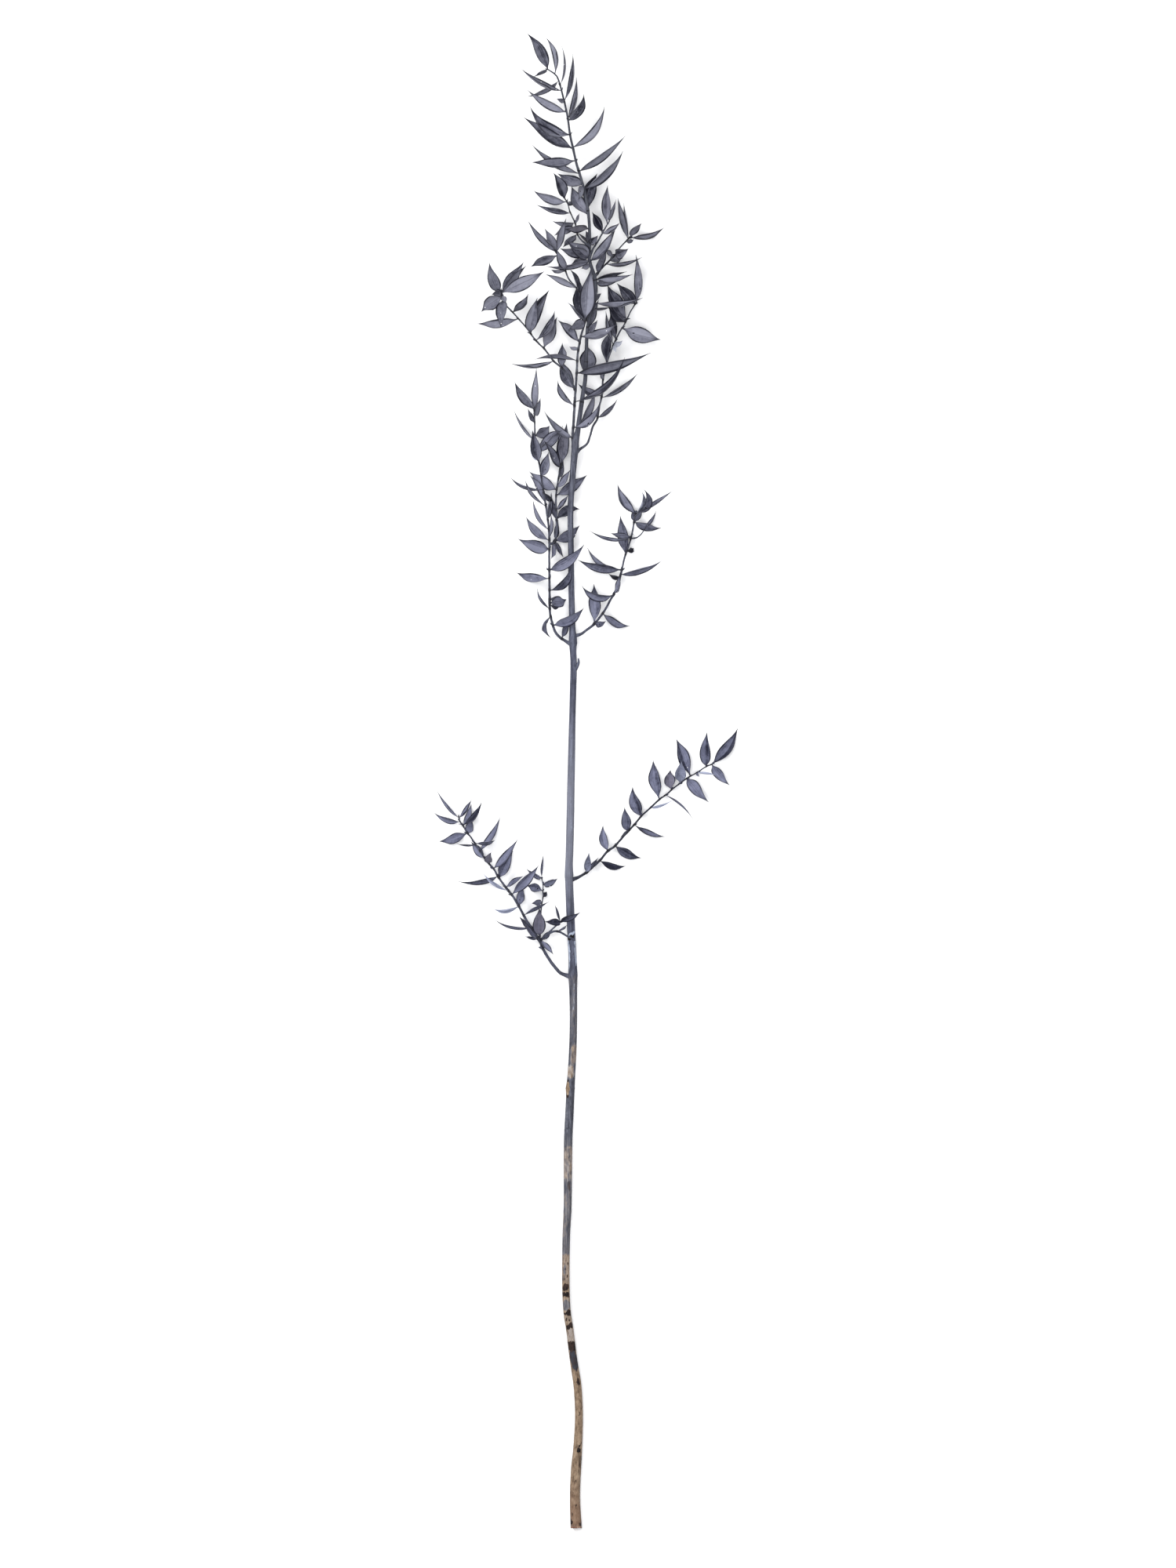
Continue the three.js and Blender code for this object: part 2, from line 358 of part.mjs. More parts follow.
// A tube through the points, with a radius for each and one flat turned straight down.
function tube(points, radii, sides) {
  const rings = points.map((point, i) => {
    const before = points[Math.max(i - 1, 0)];
    const after = points[Math.min(i + 1, points.length - 1)];
    const [left, up] = sectionAxes(new THREE.Vector3().subVectors(after, before).normalize());
    return Array.from({ length: sides }, (_, j) => {
      const angle = ((j + 0.5) / sides) * 2 * Math.PI - Math.PI / 2;
      return point
        .clone()
        .addScaledVector(left, radii[i] * Math.cos(angle))
        .addScaledVector(up, radii[i] * Math.sin(angle));
    });
  });
  return loft(rings);
}

// The manifold-3d solid of a closed geometry.
function solid(geometry) {
  const merged = mergeVertices(geometry, 1e-4);
  const mesh = new wasm.Mesh({
    numProp: 3,
    vertProperties: merged.attributes.position.array,
    triVerts: Uint32Array.from(merged.index.array),
  });
  return new wasm.Manifold(mesh);
}

// ---------------------------------------------------------------- the woody axis

// The underside of the axis lies on z = 0 as far as LEVEL_TO, and then climbs.
function axisPoint([x, y, width]) {
  const flat = Math.cos(Math.PI / STEM_SIDES);
  return new THREE.Vector3(x, y, (width / 2) * flat + Math.max(y - LEVEL_TO, 0) * CLIMB);
}

// The height of the axis beside a point this far along it.
function axisHeight(y) {
  const next = AXIS.findIndex((row) => row[1] >= y);
  const [a, b] = [axisPoint(AXIS[next - 1]), axisPoint(AXIS[next])];
  return THREE.MathUtils.mapLinear(y, a.y, b.y, a.z, b.z);
}

// The axis as a tube whose sections stand square to +Y, so that its flat spot is flat.
function axisTube(extra) {
  const rings = AXIS.map((row) => {
    const centre = axisPoint(row);
    return Array.from({ length: STEM_SIDES }, (_, j) => {
      const angle = ((j + 0.5) / STEM_SIDES) * 2 * Math.PI - Math.PI / 2;
      const reach = row[2] / 2 + extra;
      return new THREE.Vector3(
        centre.x - reach * Math.cos(angle),
        centre.y,
        centre.z + reach * Math.sin(angle),
      );
    });
  });
  return solid(loft(rings));
}

// ---------------------------------------------------------------- twigs and blades

// The centre line of a twig, its height running evenly from one end to the other.
function twigPoints({ path, lift }) {
  const start = axisHeight(path[0][1]);
  const last = path.length - 1;
  return path.map(([x, y], i) => {
    const z = start + THREE.MathUtils.lerp(lift[0], lift[1], i / last);
    return new THREE.Vector3(x, y, z);
  });
}

function twigSolid(twig) {
  const points = twigPoints(twig);
  const last = points.length - 1;
  const radii = points.map((_, i) => THREE.MathUtils.lerp(twig.width[0], twig.width[1], i / last) / 2);
  return solid(tube(points, radii, TWIG_SIDES));
}

// The point on the spray's centre lines that lies closest to a blade's foot, seen from above.
function footOn(lines, x, y) {
  const target = new THREE.Vector3(x, y, 0);
  let best = null;
  for (const line of lines) {
    for (let i = 0; i + 1 < line.length; i++) {
      const flat = new THREE.Line3(line[i].clone().setZ(0), line[i + 1].clone().setZ(0));
      const share = flat.closestPointToPointParameter(target, true);
      const distance = flat.at(share, new THREE.Vector3()).distanceTo(target);
      if (!best || distance < best.distance) {
        best = { distance, point: line[i].clone().lerp(line[i + 1], share) };
      }
    }
  }
  return best.point;
}

// A blade with its foot sunk in the twig. It is a thin lens in section, folded along the
// midrib, and rolled about it as far as its seen width asks. Where it would dip below the
// surface that the stem lies on, it lies on that surface instead.
function bladeGeometry({ foot, tip, seen, full, bow, roll }, extra) {
  const chord = new THREE.Vector3(tip.x - foot.x, tip.y - foot.y, 0);
  const across = new THREE.Vector3().crossVectors(UP, chord).normalize();
  const line = (t) =>
    new THREE.Vector3(foot.x, foot.y, foot.z + (tip.z - foot.z) * t * (1.4 - 0.4 * t))
      .addScaledVector(chord, t)
      .addScaledVector(across, bow * 4 * t * (1 - t));
  const rings = BLADE_STEPS.map((t, i) => {
    const tangent = line(Math.min(t + 0.02, 1)).sub(line(Math.max(t - 0.02, 0))).normalize();
    const [flatLeft, flatUp] = sectionAxes(tangent);
    const left = flatLeft.clone().multiplyScalar(Math.cos(roll)).addScaledVector(flatUp, Math.sin(roll));
    const up = new THREE.Vector3().crossVectors(tangent, left);
    const half = (full / 2) * BLADE_OUTLINE[i] + extra;
    const thick = (BLADE_THICKNESS / 2) * Math.max(1 - t * t, 0.35) + extra;
    const fold = half * BLADE_FOLD;
    const centre = line(t);
    const ring = [
      centre.clone().addScaledVector(left, half),
      centre.clone().addScaledVector(up, thick - fold),
      centre.clone().addScaledVector(left, -half),
      centre.clone().addScaledVector(up, -thick - fold),
    ];
    const sunk = Math.max(0, -Math.min(...ring.map((point) => point.z)));
    return ring.map((point) => point.setZ(point.z + sunk));
  });
  return loft(rings);
}

// Reads a row of the table: how long the blade really is sets how far its tip leans up or
// down, and how wide it really is sets how far it is rolled.
function readBlade([x0, y0, x1, y1, seen, bow, lean], lines, length) {
  const foot = footOn(lines, x0, y0);
  const run = Math.hypot(x1 - foot.x, y1 - foot.y);
  const real = Math.max(run * 1.04, Math.min(length * (0.8 + 0.35 * draw()), run * 2));
  const side = lean || (draw() < 0.5 ? 1 : -1);
  const rise = Math.min(Math.sqrt(real * real - run * run), STEEPEST) * side;
  const full = Math.max(seen, Math.min(real * BLADE_WIDTH, seen * 3));
  const roll = Math.acos(seen / full) * (draw() < 0.5 ? 1 : -1);
  return { foot, tip: new THREE.Vector3(x1, y1, Math.max(foot.z + rise, 0)), full, bow, roll };
}

// Bends a blade up or down, by the smallest step that clears everything in the way.
function bentClear(blade, others) {
  for (const bend of BENDS) {
    const tip = blade.tip.clone().setZ(Math.max(blade.tip.z + bend, 0));
    const wide = solid(bladeGeometry({ ...blade, tip }, CLEARANCE));
    if (wide.intersect(others).isEmpty()) {
      return solid(bladeGeometry({ ...blade, tip }, 0));
    }
  }
  throw new Error(`No way clear for the blade with its tip at ${blade.tip.x}, ${blade.tip.y}`);
}

// ---------------------------------------------------------------- assembly

function toMesh(name, body, colour) {
  const { vertProperties, triVerts } = body.getMesh();
  const geometry = new THREE.BufferGeometry();
  geometry.setAttribute('position', new THREE.BufferAttribute(vertProperties, 3));
  geometry.setIndex(new THREE.BufferAttribute(triVerts, 1));
  geometry.computeVertexNormals();
  const material = new THREE.MeshStandardMaterial({ color: colour, roughness: 0.85, metalness: 0 });
  const mesh = new THREE.Mesh(geometry, material);
  mesh.name = name;
  return mesh;
}

const union = (solids) => solids.reduce((all, next) => all.add(next));

const axis = axisTube(0);
const clearOfAxis = axisTube(GAP);
const axisLine = AXIS.map(axisPoint);

// All twigs come first, cut free of the axis. Each blade then goes in clear of them and of
// the blades of every other spray.
const bodies = new Map();
bodies.set(LEADER, union([axis, ...LEADER.twigs.map(twigSolid)]));
for (const spray of SPRAYS) {
  bodies.set(spray, union(spray.twigs.map(twigSolid)).subtract(clearOfAxis));
}

for (const spray of [LEADER, ...SPRAYS]) {
  const others = union([...bodies].filter(([other]) => other !== spray).map(([, body]) => body));
  const lines = spray.twigs.map(twigPoints);
  if (spray === LEADER) lines.push(axisLine);
  for (const row of spray.blades) {
    const blade = bentClear(readBlade(row, lines, spray.length), others);
    bodies.set(spray, bodies.get(spray).add(blade));
  }
}

const group = new THREE.Group();
for (const [spray, body] of bodies) {
  group.add(toMesh(spray.name, body, spray === LEADER ? 0x6a6c78 : 0x64656e));
}

export default group;
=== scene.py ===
"""A cut stem of dried ruscus, lying on a pale floor and seen from straight above.

Each CAD node is replaced by its twigs or bark and by its leaves. The tables below are in
millimetres, in the frame of the CAD, and every mesh is scaled to metres as it is made.
"""

import math
import random

import bpy
import numpy as np
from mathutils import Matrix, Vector, noise


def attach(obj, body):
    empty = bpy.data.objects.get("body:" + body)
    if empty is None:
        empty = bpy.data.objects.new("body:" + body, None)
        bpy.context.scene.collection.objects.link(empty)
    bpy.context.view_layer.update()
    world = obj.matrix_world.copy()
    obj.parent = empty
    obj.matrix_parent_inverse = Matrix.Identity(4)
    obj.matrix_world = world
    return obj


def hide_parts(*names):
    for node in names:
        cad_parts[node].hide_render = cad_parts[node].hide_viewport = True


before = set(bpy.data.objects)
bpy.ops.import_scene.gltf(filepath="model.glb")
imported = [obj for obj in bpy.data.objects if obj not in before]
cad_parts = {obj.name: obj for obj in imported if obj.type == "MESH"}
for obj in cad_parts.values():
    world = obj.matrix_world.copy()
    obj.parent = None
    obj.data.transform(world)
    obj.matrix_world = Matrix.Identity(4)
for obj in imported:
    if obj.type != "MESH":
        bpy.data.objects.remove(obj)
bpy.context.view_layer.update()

# --- camera and light ---

VIEW_HEIGHT = 1.092  # metres that the frame is high, at the height of the stem
VIEW_CENTRE = (.0085, .506)
STEM_HEIGHT = .018
DISTANCE = 20
SENSOR = 36
LIT_POINT = (0, .5, 0)
LIGHTS = [  # name, place, size and power
    ("overhead", (-.1, .6, 4.2), (2, 2.4), 173),
    ("key", (-2.2, 2.2, 2.6), (1.6, 1.6), 100),
]
SKY = (.96, .97, 1, 1)
SKY_STRENGTH = .33
FLOOR_HALF = 20
FLOOR_DROP = .0003  # metres from the lowest leaves down to the floor
FLOOR_DULL = (.9, .9, .905)
FLOOR_CLEAN = (.93, .93, .933)


def link(name, data):
    made = bpy.data.objects.new(name, data)
    bpy.context.scene.collection.objects.link(made)
    return made


def make_camera():
    data = bpy.data.cameras.new("camera")
    data.sensor_fit = "AUTO"
    data.sensor_width = SENSOR
    data.lens = SENSOR * (DISTANCE - STEM_HEIGHT) / VIEW_HEIGHT
    camera = link("camera", data)
    camera.location = (*VIEW_CENTRE, DISTANCE)
    bpy.context.scene.camera = camera


def area_light(name, location, size, power):
    data = bpy.data.lights.new(name, "AREA")
    data.shape = "RECTANGLE"
    data.size, data.size_y = size
    data.energy = power
    light = link(name, data)
    light.location = location
    direction = Vector(LIT_POINT) - Vector(location)
    light.rotation_euler = direction.to_track_quat("-Z", "Y").to_euler()
    light.visible_camera = False


def make_studio():
    world = bpy.data.worlds.new("studio")
    world.use_nodes = True
    background = world.node_tree.nodes["Background"]
    background.inputs["Color"].default_value = SKY
    background.inputs["Strength"].default_value = SKY_STRENGTH
    scene = bpy.context.scene
    scene.world = world
    for light in LIGHTS:
        area_light(*light)
    view = scene.view_settings
    view.view_transform, view.look = "Standard", "None"
    view.exposure, view.gamma = 0, 1


def make_floor():
    half = FLOOR_HALF
    mesh = bpy.data.meshes.new("floor")
    corners = [(-half, -half, 0), (half, -half, 0), (half, half, 0), (-half, half, 0)]
    mesh.from_pydata(corners, [], [(0, 1, 2, 3)])
    floor = link("floor", mesh)
    floor.location = (0, 0, -FLOOR_DROP)
    g = Graph("floor")
    grain = g.noise(60, 4, .5)
    g.surface(g.ramp(grain, [(.3, FLOOR_DULL), (.7, FLOOR_CLEAN)]), roughness=.9)
    mesh.materials.append(g.material)


# --- material graphs ---


class Graph:
    """A short way to write a material's nodes."""

    def __init__(self, name):
        self.material = bpy.data.materials.new(name)
        self.material.use_nodes = True
        self.tree = self.material.node_tree
        self.shader = self.tree.nodes["Principled BSDF"]

    def add(self, kind, values=None, **settings):
        made = self.tree.nodes.new(kind)
        for key, value in settings.items():
            setattr(made, key, value)
        for key, value in (values or {}).items():
            self.feed(made.inputs[key], value)
        return made

    def feed(self, socket, value):
        if isinstance(value, bpy.types.NodeSocket):
            self.tree.links.new(value, socket)
        elif isinstance(value, tuple) and len(value) == 3 and len(socket.default_value) == 4:
            socket.default_value = (*value, 1)
        else:
            socket.default_value = value

    def attribute(self, name, output="Fac"):
        return self.add("ShaderNodeAttribute", attribute_name=name).outputs[output]

    def position(self):
        return self.add("ShaderNodeTexCoord").outputs["Object"]

    def parts(self, vector):
        return self.add("ShaderNodeSeparateXYZ", {"Vector": vector}).outputs

    def grid(self, scale, source=None):
        """Coordinates with this many cells a metre, or a different number each way."""
        scale = scale if isinstance(scale, tuple) else (scale,) * 3
        values = {"Vector": source or self.position(), "Scale": scale}
        return self.add("ShaderNodeMapping", values).outputs["Vector"]

    def noise(self, scale, detail, rough, source=None):
        values = {"Vector": self.grid(scale, source), "Scale": 1}
        values.update(Detail=detail, Roughness=rough)
        return self.add("ShaderNodeTexNoise", values).outputs["Fac"]

    def math(self, operation, a, b=0):
        return self.add("ShaderNodeMath", {0: a, 1: b}, operation=operation).outputs["Value"]

    def plus(self, a, b):
        return self.math("ADD", a, b)

    def minus(self, a, b):
        return self.math("SUBTRACT", a, b)

    def times(self, a, b):
        return self.math("MULTIPLY", a, b)

    def blend(self, *shares, start=None):
        """The sum of some values, each times its share."""
        for value, share in shares:
            part = self.times(value, share)
            start = self.plus(start, part) if start else part
        return start

    def swing(self, value, size):
        """A noise brought round to zero."""
        return self.times(self.minus(value, .5), size)

    def rise(self, value, low, high):
        """0 below low, 1 above high, and smooth between them."""
        values = {"Value": value, "From Min": low, "From Max": high}
        made = self.add("ShaderNodeMapRange", values, interpolation_type="SMOOTHSTEP")
        return made.outputs["Result"]

    def fall(self, value, low, high):
        return self.minus(1, self.rise(value, low, high))

    def band(self, value, rise, fall):
        """1 between the two slopes."""
        return self.minus(self.rise(value, *rise), self.rise(value, *fall))

    def ramp(self, factor, stops):
        made = self.add("ShaderNodeValToRGB", {"Fac": factor})
        elements = made.color_ramp.elements
        while len(elements) < len(stops):
            elements.new(.5)
        for element, (place, colour) in zip(elements, stops):
            element.position = place
            element.color = (*colour, 1)
        return made.outputs["Color"]

    def mix(self, factor, a, b, blend="MIX"):
        made = self.add("ShaderNodeMix", data_type="RGBA", blend_type=blend)
        for socket, value in zip([s for s in made.inputs if s.enabled], (factor, a, b)):
            self.feed(socket, value)
        return next(s for s in made.outputs if s.enabled)

    def paint(self, colour, over, where, strength=None):
        """The colour with another laid over it, as strongly as told."""
        return self.mix(self.times(where, strength) if strength else where, colour, over)

    def bump(self, height, strength, distance=.0006):
        values = {"Height": height, "Strength": strength, "Distance": distance}
        return self.add("ShaderNodeBump", values).outputs["Normal"]

    def surface(self, colour, roughness, normal=None, specular=.3, sheen=0):
        self.feed(self.shader.inputs["Base Color"], colour)
        self.feed(self.shader.inputs["Roughness"], roughness)
        self.shader.inputs["Specular IOR Level"].default_value = specular
        self.shader.inputs["Sheen Weight"].default_value = sheen
        if normal is not None:
            self.feed(self.shader.inputs["Normal"], normal)


LEAF_BLACK = (.005, .005, .012)
LEAF_DARK = (.027, .028, .042)
LEAF_MID = (.12, .122, .158)
LEAF_LIGHT = (.205, .209, .258)
LEAF_PALE = (.4, .42, .49)
LEAF_BROWN = (.235, .195, .195)
LEAF_SPECK = (.85, .86, .88)
LEAF_BASE = .162  # what the noises and the leaf's own tone are added to
LOW_TINT = (.9, .93, 1.08)  # the paint is bluer on the low sprays


def low_tint(g, colour):
    """Makes the colour bluer on the low sprays and on the stem beside them."""
    y = g.parts(g.position())["Y"]
    tinted = g.mix(1, colour, LOW_TINT, "MULTIPLY")
    return g.paint(colour, tinted, g.band(y, (.34, .39), (.54, .84)))


def leaf_material():
    """Matte dried leaf: fine veins, mottling, a dark outline, a painted highlight just inside the
    edges, scars and a few white specks.

    The blade attribute holds the place along the leaf (0 to 1), the place across it (-1 to 1)
    and a number of its own for each leaf.
    """
    g = Graph("dried_leaf")
    blade = g.attribute("blade", "Vector")
    parts = g.parts(blade)
    along, side, own = parts["X"], g.math("ABSOLUTE", parts["Y"]), parts["Z"]
    streaks = g.noise((1.8, 6, 1), 3, .55, blade)
    veins = g.noise((.5, 22, 1), 2, .5, blade)
    mottle = g.noise(330, 4, .68)
    patches = g.noise(110, 2, .5)
    base = g.plus(g.attribute("tone"), LEAF_BASE)
    value = g.blend((streaks, .18), (veins, .1), (mottle, .25), (patches, .17), start=base)
    stops = [(.3, LEAF_BLACK), (.41, LEAF_DARK), (.5, LEAF_MID), (.61, LEAF_LIGHT)]
    colour = g.ramp(value, stops)
    colour = g.paint(colour, g.mix(mottle, LEAF_DARK, LEAF_BROWN), g.attribute("brown"))
    # Painted highlight: a light band just inside each edge stands in for the light that curled
    # edges catch.
    colour = g.paint(colour, LEAF_LIGHT, g.rise(side, .55, .72), .2)
    rim = g.times(g.rise(side, .74, .9), .95)
    tip = g.times(g.rise(along, .7, .96), .85)
    stalk = g.times(g.fall(along, .02, .15), .8)
    ends = g.math("MAXIMUM", tip, stalk)
    colour = g.paint(colour, LEAF_BLACK, g.math("MAXIMUM", rim, ends))
    rib_colour = g.mix(g.rise(own, 17, 19), LEAF_DARK, LEAF_LIGHT)
    colour = g.paint(colour, rib_colour, g.fall(side, .02, .09), .42)
    scar = g.attribute("scar")
    colour = g.paint(colour, LEAF_LIGHT, g.rise(scar, .08, .3), .35)
    colour = g.paint(colour, LEAF_BLACK, g.rise(scar, .38, .7))
    pale = g.plus(g.attribute("pale"), g.times(mottle, .5))
    colour = low_tint(g, g.paint(colour, LEAF_PALE, g.rise(pale, .55, 1.15)))
    cells = g.add("ShaderNodeTexVoronoi", {"Vector": g.grid(130), "Scale": 1})
    colour = g.paint(colour, LEAF_SPECK, g.fall(cells.outputs["Distance"], .035, .055))
    normal = g.bump(g.blend((veins, .6), (mottle, .7)), .7)
    roughness = g.plus(g.times(mottle, .3), .42)
    g.surface(colour, roughness, normal, specular=.12, sheen=.02)
    return g.material


PAINT_DARK = (.026, .028, .038)
PAINT_MID = (.07, .073, .094)
PAINT_LIGHT = (.135, .142, .172)
PAINT_FRESH = (.3, .31, .36)
WOOD_DARK = (.062, .04, .026)
WOOD_MID = (.188, .131, .087)
WOOD_LIGHT = (.29, .216, .15)
WOOD_RED = (.15, .08, .052)
BLOTCH = (.004, .003, .003)
BLOTCH_BROWN = (.04, .022, .017)
FLAKE = (.4, .45, .56)
DUST = (.31, .285, .275)
CUT_RED = (.16, .06, .04)
CUT_PALE = (.42, .28, .2)


class Bark:
    """Fine lengthwise fibres under blue-grey paint."""

    def __init__(self, name, shade=1):
        self.g = g = Graph(name)
        self.fibre = g.noise((1100, 60, 1100), 4, .6)
        self.streak = g.noise((420, 16, 420), 3, .55)
        self.blot = g.noise((300, 190, 300), 4, .65)
        self.value = g.blend((self.fibre, .35), (self.streak, .35), (self.blot, .3))
        paints = (PAINT_DARK, PAINT_MID, PAINT_LIGHT)
        dark, middle, light = (tuple(part * shade for part in paint) for paint in paints)
        colour = g.ramp(self.value, [(.38, dark), (.5, middle), (.61, light)])
        self.colour = g.paint(colour, dark, g.rise(self.blot, .54, .68), .7)

    def finish(self, colour):
        g = self.g
        normal = g.bump(g.plus(self.fibre, g.times(self.blot, .6)), .6)
        g.surface(colour, g.plus(g.times(self.blot, .3), .5), normal, specular=.14)
        return g.material


def twig_material(name, shade):
    """Painted all over, and black at the feet of the leaves."""
    bark = Bark(name, shade)
    g = bark.g
    return bark.finish(low_tint(g, g.paint(bark.colour, BLOTCH, g.attribute("dark"), .8)))


def stem_material():
    """The paint thins out toward the cut end, over bare wood, and the marks show through."""
    bark = Bark("bark")
    g, blot, streak = bark.g, bark.blot, bark.streak
    crumb = g.noise((760, 260, 760), 4, .7)
    y = g.parts(g.position())["Y"]
    colour = low_tint(g, bark.colour)
    # Painted shade: the axis is darker above 0.745 m, where it lies in the shade of the crown's
    # leaves.
    colour = g.paint(colour, PAINT_DARK, g.rise(y, .745, .79), .55)
    grime = g.fall(y, .36, .41)
    colour = g.paint(colour, PAINT_DARK, g.times(grime, g.rise(crumb, .42, .66)), .8)
    colour = g.paint(colour, PAINT_DARK, g.band(y, (.092, .096), (.113, .117)), .75)
    colour = g.paint(colour, PAINT_FRESH, g.band(y, (.405, .455), (.49, .58)), .3)

    grain = g.blend((bark.value, .3), (blot, .3), (crumb, .4))
    wood = g.ramp(grain, [(.39, WOOD_DARK), (.49, WOOD_MID), (.6, WOOD_LIGHT)])
    wood = g.paint(wood, WOOD_RED, g.attribute("red"), .5)
    mixed = g.blend((streak, .3), (blot, .35), (crumb, .35))
    bare = g.plus(g.attribute("bare"), g.swing(mixed, 1.3))
    colour = g.paint(colour, wood, g.rise(bare, .3, .68))

    brushed = g.rise(g.blend((bark.fibre, .5), (crumb, .5)), .4, .6)
    colour = g.paint(colour, DUST, g.times(g.attribute("dusty"), brushed), .8)
    grimy = g.swing(mixed, 1.1)
    blotch = g.ramp(crumb, [(.42, BLOTCH), (.62, BLOTCH_BROWN)])
    blotch = g.mix(grime, BLOTCH, blotch)
    colour = g.paint(colour, blotch, g.rise(g.plus(g.attribute("dark"), grimy), .34, .62))
    flake = g.plus(g.attribute("flake"), g.plus(g.swing(streak, 1.6), grimy))
    colour = g.paint(colour, FLAKE, g.rise(flake, .42, .62), .8)
    cut = g.ramp(blot, [(.35, CUT_RED), (.65, CUT_PALE)])
    return bark.finish(g.paint(colour, cut, g.attribute("cut")))


# --- what the CAD says ---

LEVEL_TO = 25  # the stem lies flat up to here, then climbs at this slope
CLIMB = .027
STEM_SIDES = 8  # the CAD's stem is an octagon
BLADE_WIDTH = .24  # the widest that a blade is, as a share of its length
STEEPEST = 14  # the most that a blade rises or falls
TIP_REACH = .7  # how far the CAD's corner may be from the tip in the table
DRAWS = 2**31 - 1  # the draws repeat after this many

# In all tables no space stands between numbers that belong together, such as an x and its y.
# The woody axis, from the cut end to the tip: x, y and full width.
AXIS = [
    (.3,-12, 7.7), (-.5,4, 7.1), (-.5,16, 7), (.3,30, 7), (1.3,42, 6.2), (2.1,58, 5.7),
    (2.1,71, 5.5), (1.1,87, 5.5), (-.7,99, 5.4), (-2.3,110, 5.3), (-4.1,125, 5.2), (-6,138, 5.2),
    (-6.8,153, 5.2), (-6.9,172.5, 5.2), (-6.6,192, 5.3), (-5.7,211, 5.6), (-5.5,238, 5.9),
    (-5.2,260, 6), (-4.4,277, 5.9), (-3.3,301, 5.6), (-2.2,320, 5.3), (-1.7,342, 5.2),
    (-1.9,364, 5.6), (-2.1,373, 6.4), (-2.2,383, 5.8), (-3,399, 5.6), (-3.9,418, 5.5),
    (-4.6,437, 5.6), (-4.7,443, 6.1), (-4.7,450, 5.5), (-4.3,462, 5.4), (-3.4,506, 5.2),
    (-2.2,560, 4.6), (-1.5,587.5, 4.5), (-1.9,599, 4.7), (-2,606, 5.8), (-2.4,615, 4.5),
    (-3.1,642, 4.2), (-3.4,669, 4.1), (-3.7,697, 4.1), (-1.9,724, 4.4), (-.6,738, 5), (-.1,745, 5),
    (1.4,752, 3.8), (2.5,760, 3.4), (3.9,770, 3.3), (5.2,779, 3.2), (6.6,788, 3.1), (7.3,805, 3),
    (7.9,820, 2.9), (9.4,830, 2.9), (12.2,839, 2.8), (13.9,848, 2.8), (13.9,854, 2.8),
    (12.6,861, 2.8), (10.2,868, 2.7), (9.2,874, 2.7), (9.6,882, 2.6), (9.3,897, 2.4),
    (7.3,913, 2.3), (4.1,926, 2.1), (.6,937.5, 2), (-2,949, 1.9), (-4,958, 1.8), (-6,972, 1.6),
    (-9,985, 1.5), (-12,996, 1.3), (-14.5,1000, 1.2), (-19.5,1003.5, 1),
]

# How some leaves differ, by the x and y of the tip: darker or lighter, bare and translucent,
# or brownish.
TONES = [
    (-.2, [-20.2,431, 40.3,670.5, 22.8,652.6, -16,701, 11.4,904.4]),
    (-.1, [45.7,454.5, 34.8,448.9, 22,854, 22,839.5, 28.6,854.6, -33.1,847.2, -18.3,850.4,
           -22,744.8, 34,802.6, -82,438.2, 3.2,416.7, -39.5,413.9, -21.6,410.3, 14.8,931.2, 24,833,
           25,822, 7,891.5, 1,890.2, -8.6,731.6, -16.5,403.5, 2.7,697.6, 2.4,858, -4,657.5]),
    (-.055, [61.5,893.8, 43.2,792.2, -2.1,1014, 24.1,680.8, -72.4,495.4, -65.4,494.2, -9.6,751.8,
             -35.2,399.9, -3.5,619, 2.6,686.1, -5.3,707.3, 62.4,469.3, 39.6,504.2, 112.8,544.8,
             35.5,863, 28,913, -10.5,802, 29,715.1, 68.1,710.7]),
    (0, [-36.4,970, -31.8,977.3, 20,978, -31,938.5, -34,1028.8, -20.9,1026]),
    (.03, [-6.5,884, -10.8,878.6, 10.8,865.6, 46.5,844.3, -20.5,866.3, -22,862.6, -6.7,899.7,
           29.3,914.2, -46,798.8, -72.8,492.6, 12.6,645.3, 59,815.3, 92.5,493.3]),
]
PALE = {
    (32.5,814.8): .75, (28,806.6): .8, (-57.3,419): .75, (-64.5,443.8): .7, (9.1,458.2): .5,
    (73.6,522): .55, (97.2,512.6): .85, (66.6,494.3): .85, (30.2,651): .38, (-31.9,739): .8,
    (46.1,709.3): .55, (-56.8,411.8): .35,
}
BROWN = {
    (-59,458.3): .55, (-25.2,419.8): .6, (66,515.8): .6, (-6.3,757.2): .15, (-7,892): .3,
}

seed = 7


def draw():
    """The repeatable draw that the CAD uses, in the same order."""
    global seed
    seed = seed * 16807 % DRAWS
    return seed / DRAWS


def pairs(numbers):
    return list(zip(numbers[::2], numbers[1::2]))


def axis_point(row):
    x, y, width = row
    flat = math.cos(math.pi / STEM_SIDES)
    return (x, y, width / 2 * flat + max(y - LEVEL_TO, 0) * CLIMB)


def axis_height(y):
    following = next(i for i, row in enumerate(AXIS) if row[1] >= y)
    a, b = map(axis_point, AXIS[following - 1 : following + 1])
    return a[2] + (b[2] - a[2]) * (y - a[1]) / (b[1] - a[1])


def twig_points(twig):
    """The twig's line as x, y and z, with its foot beside the axis."""
    (low, high), _, *path = pairs(twig)
    start = axis_height(path[0][1])
    last = len(path) - 1
    return [(x, y, start + low + (high - low) * i / last) for i, (x, y) in enumerate(path)]


def foot_on(lines, x, y):
    """The point on the centre lines that is nearest to x, y seen from above, and the way that
    the line runs there."""
    best = None
    for line in lines:
        for a, b in zip(line, line[1:]):
            run = (b[0] - a[0], b[1] - a[1])
            share = ((x - a[0]) * run[0] + (y - a[1]) * run[1]) / (run[0] ** 2 + run[1] ** 2)
            share = min(max(share, 0), 1)
            point = [p + (q - p) * share for p, q in zip(a, b)]
            away = math.hypot(point[0] - x, point[1] - y)
            if best is None or away < best[0]:
                best = (away, point, [q - p for p, q in zip(a, b)])
    return best[1:]


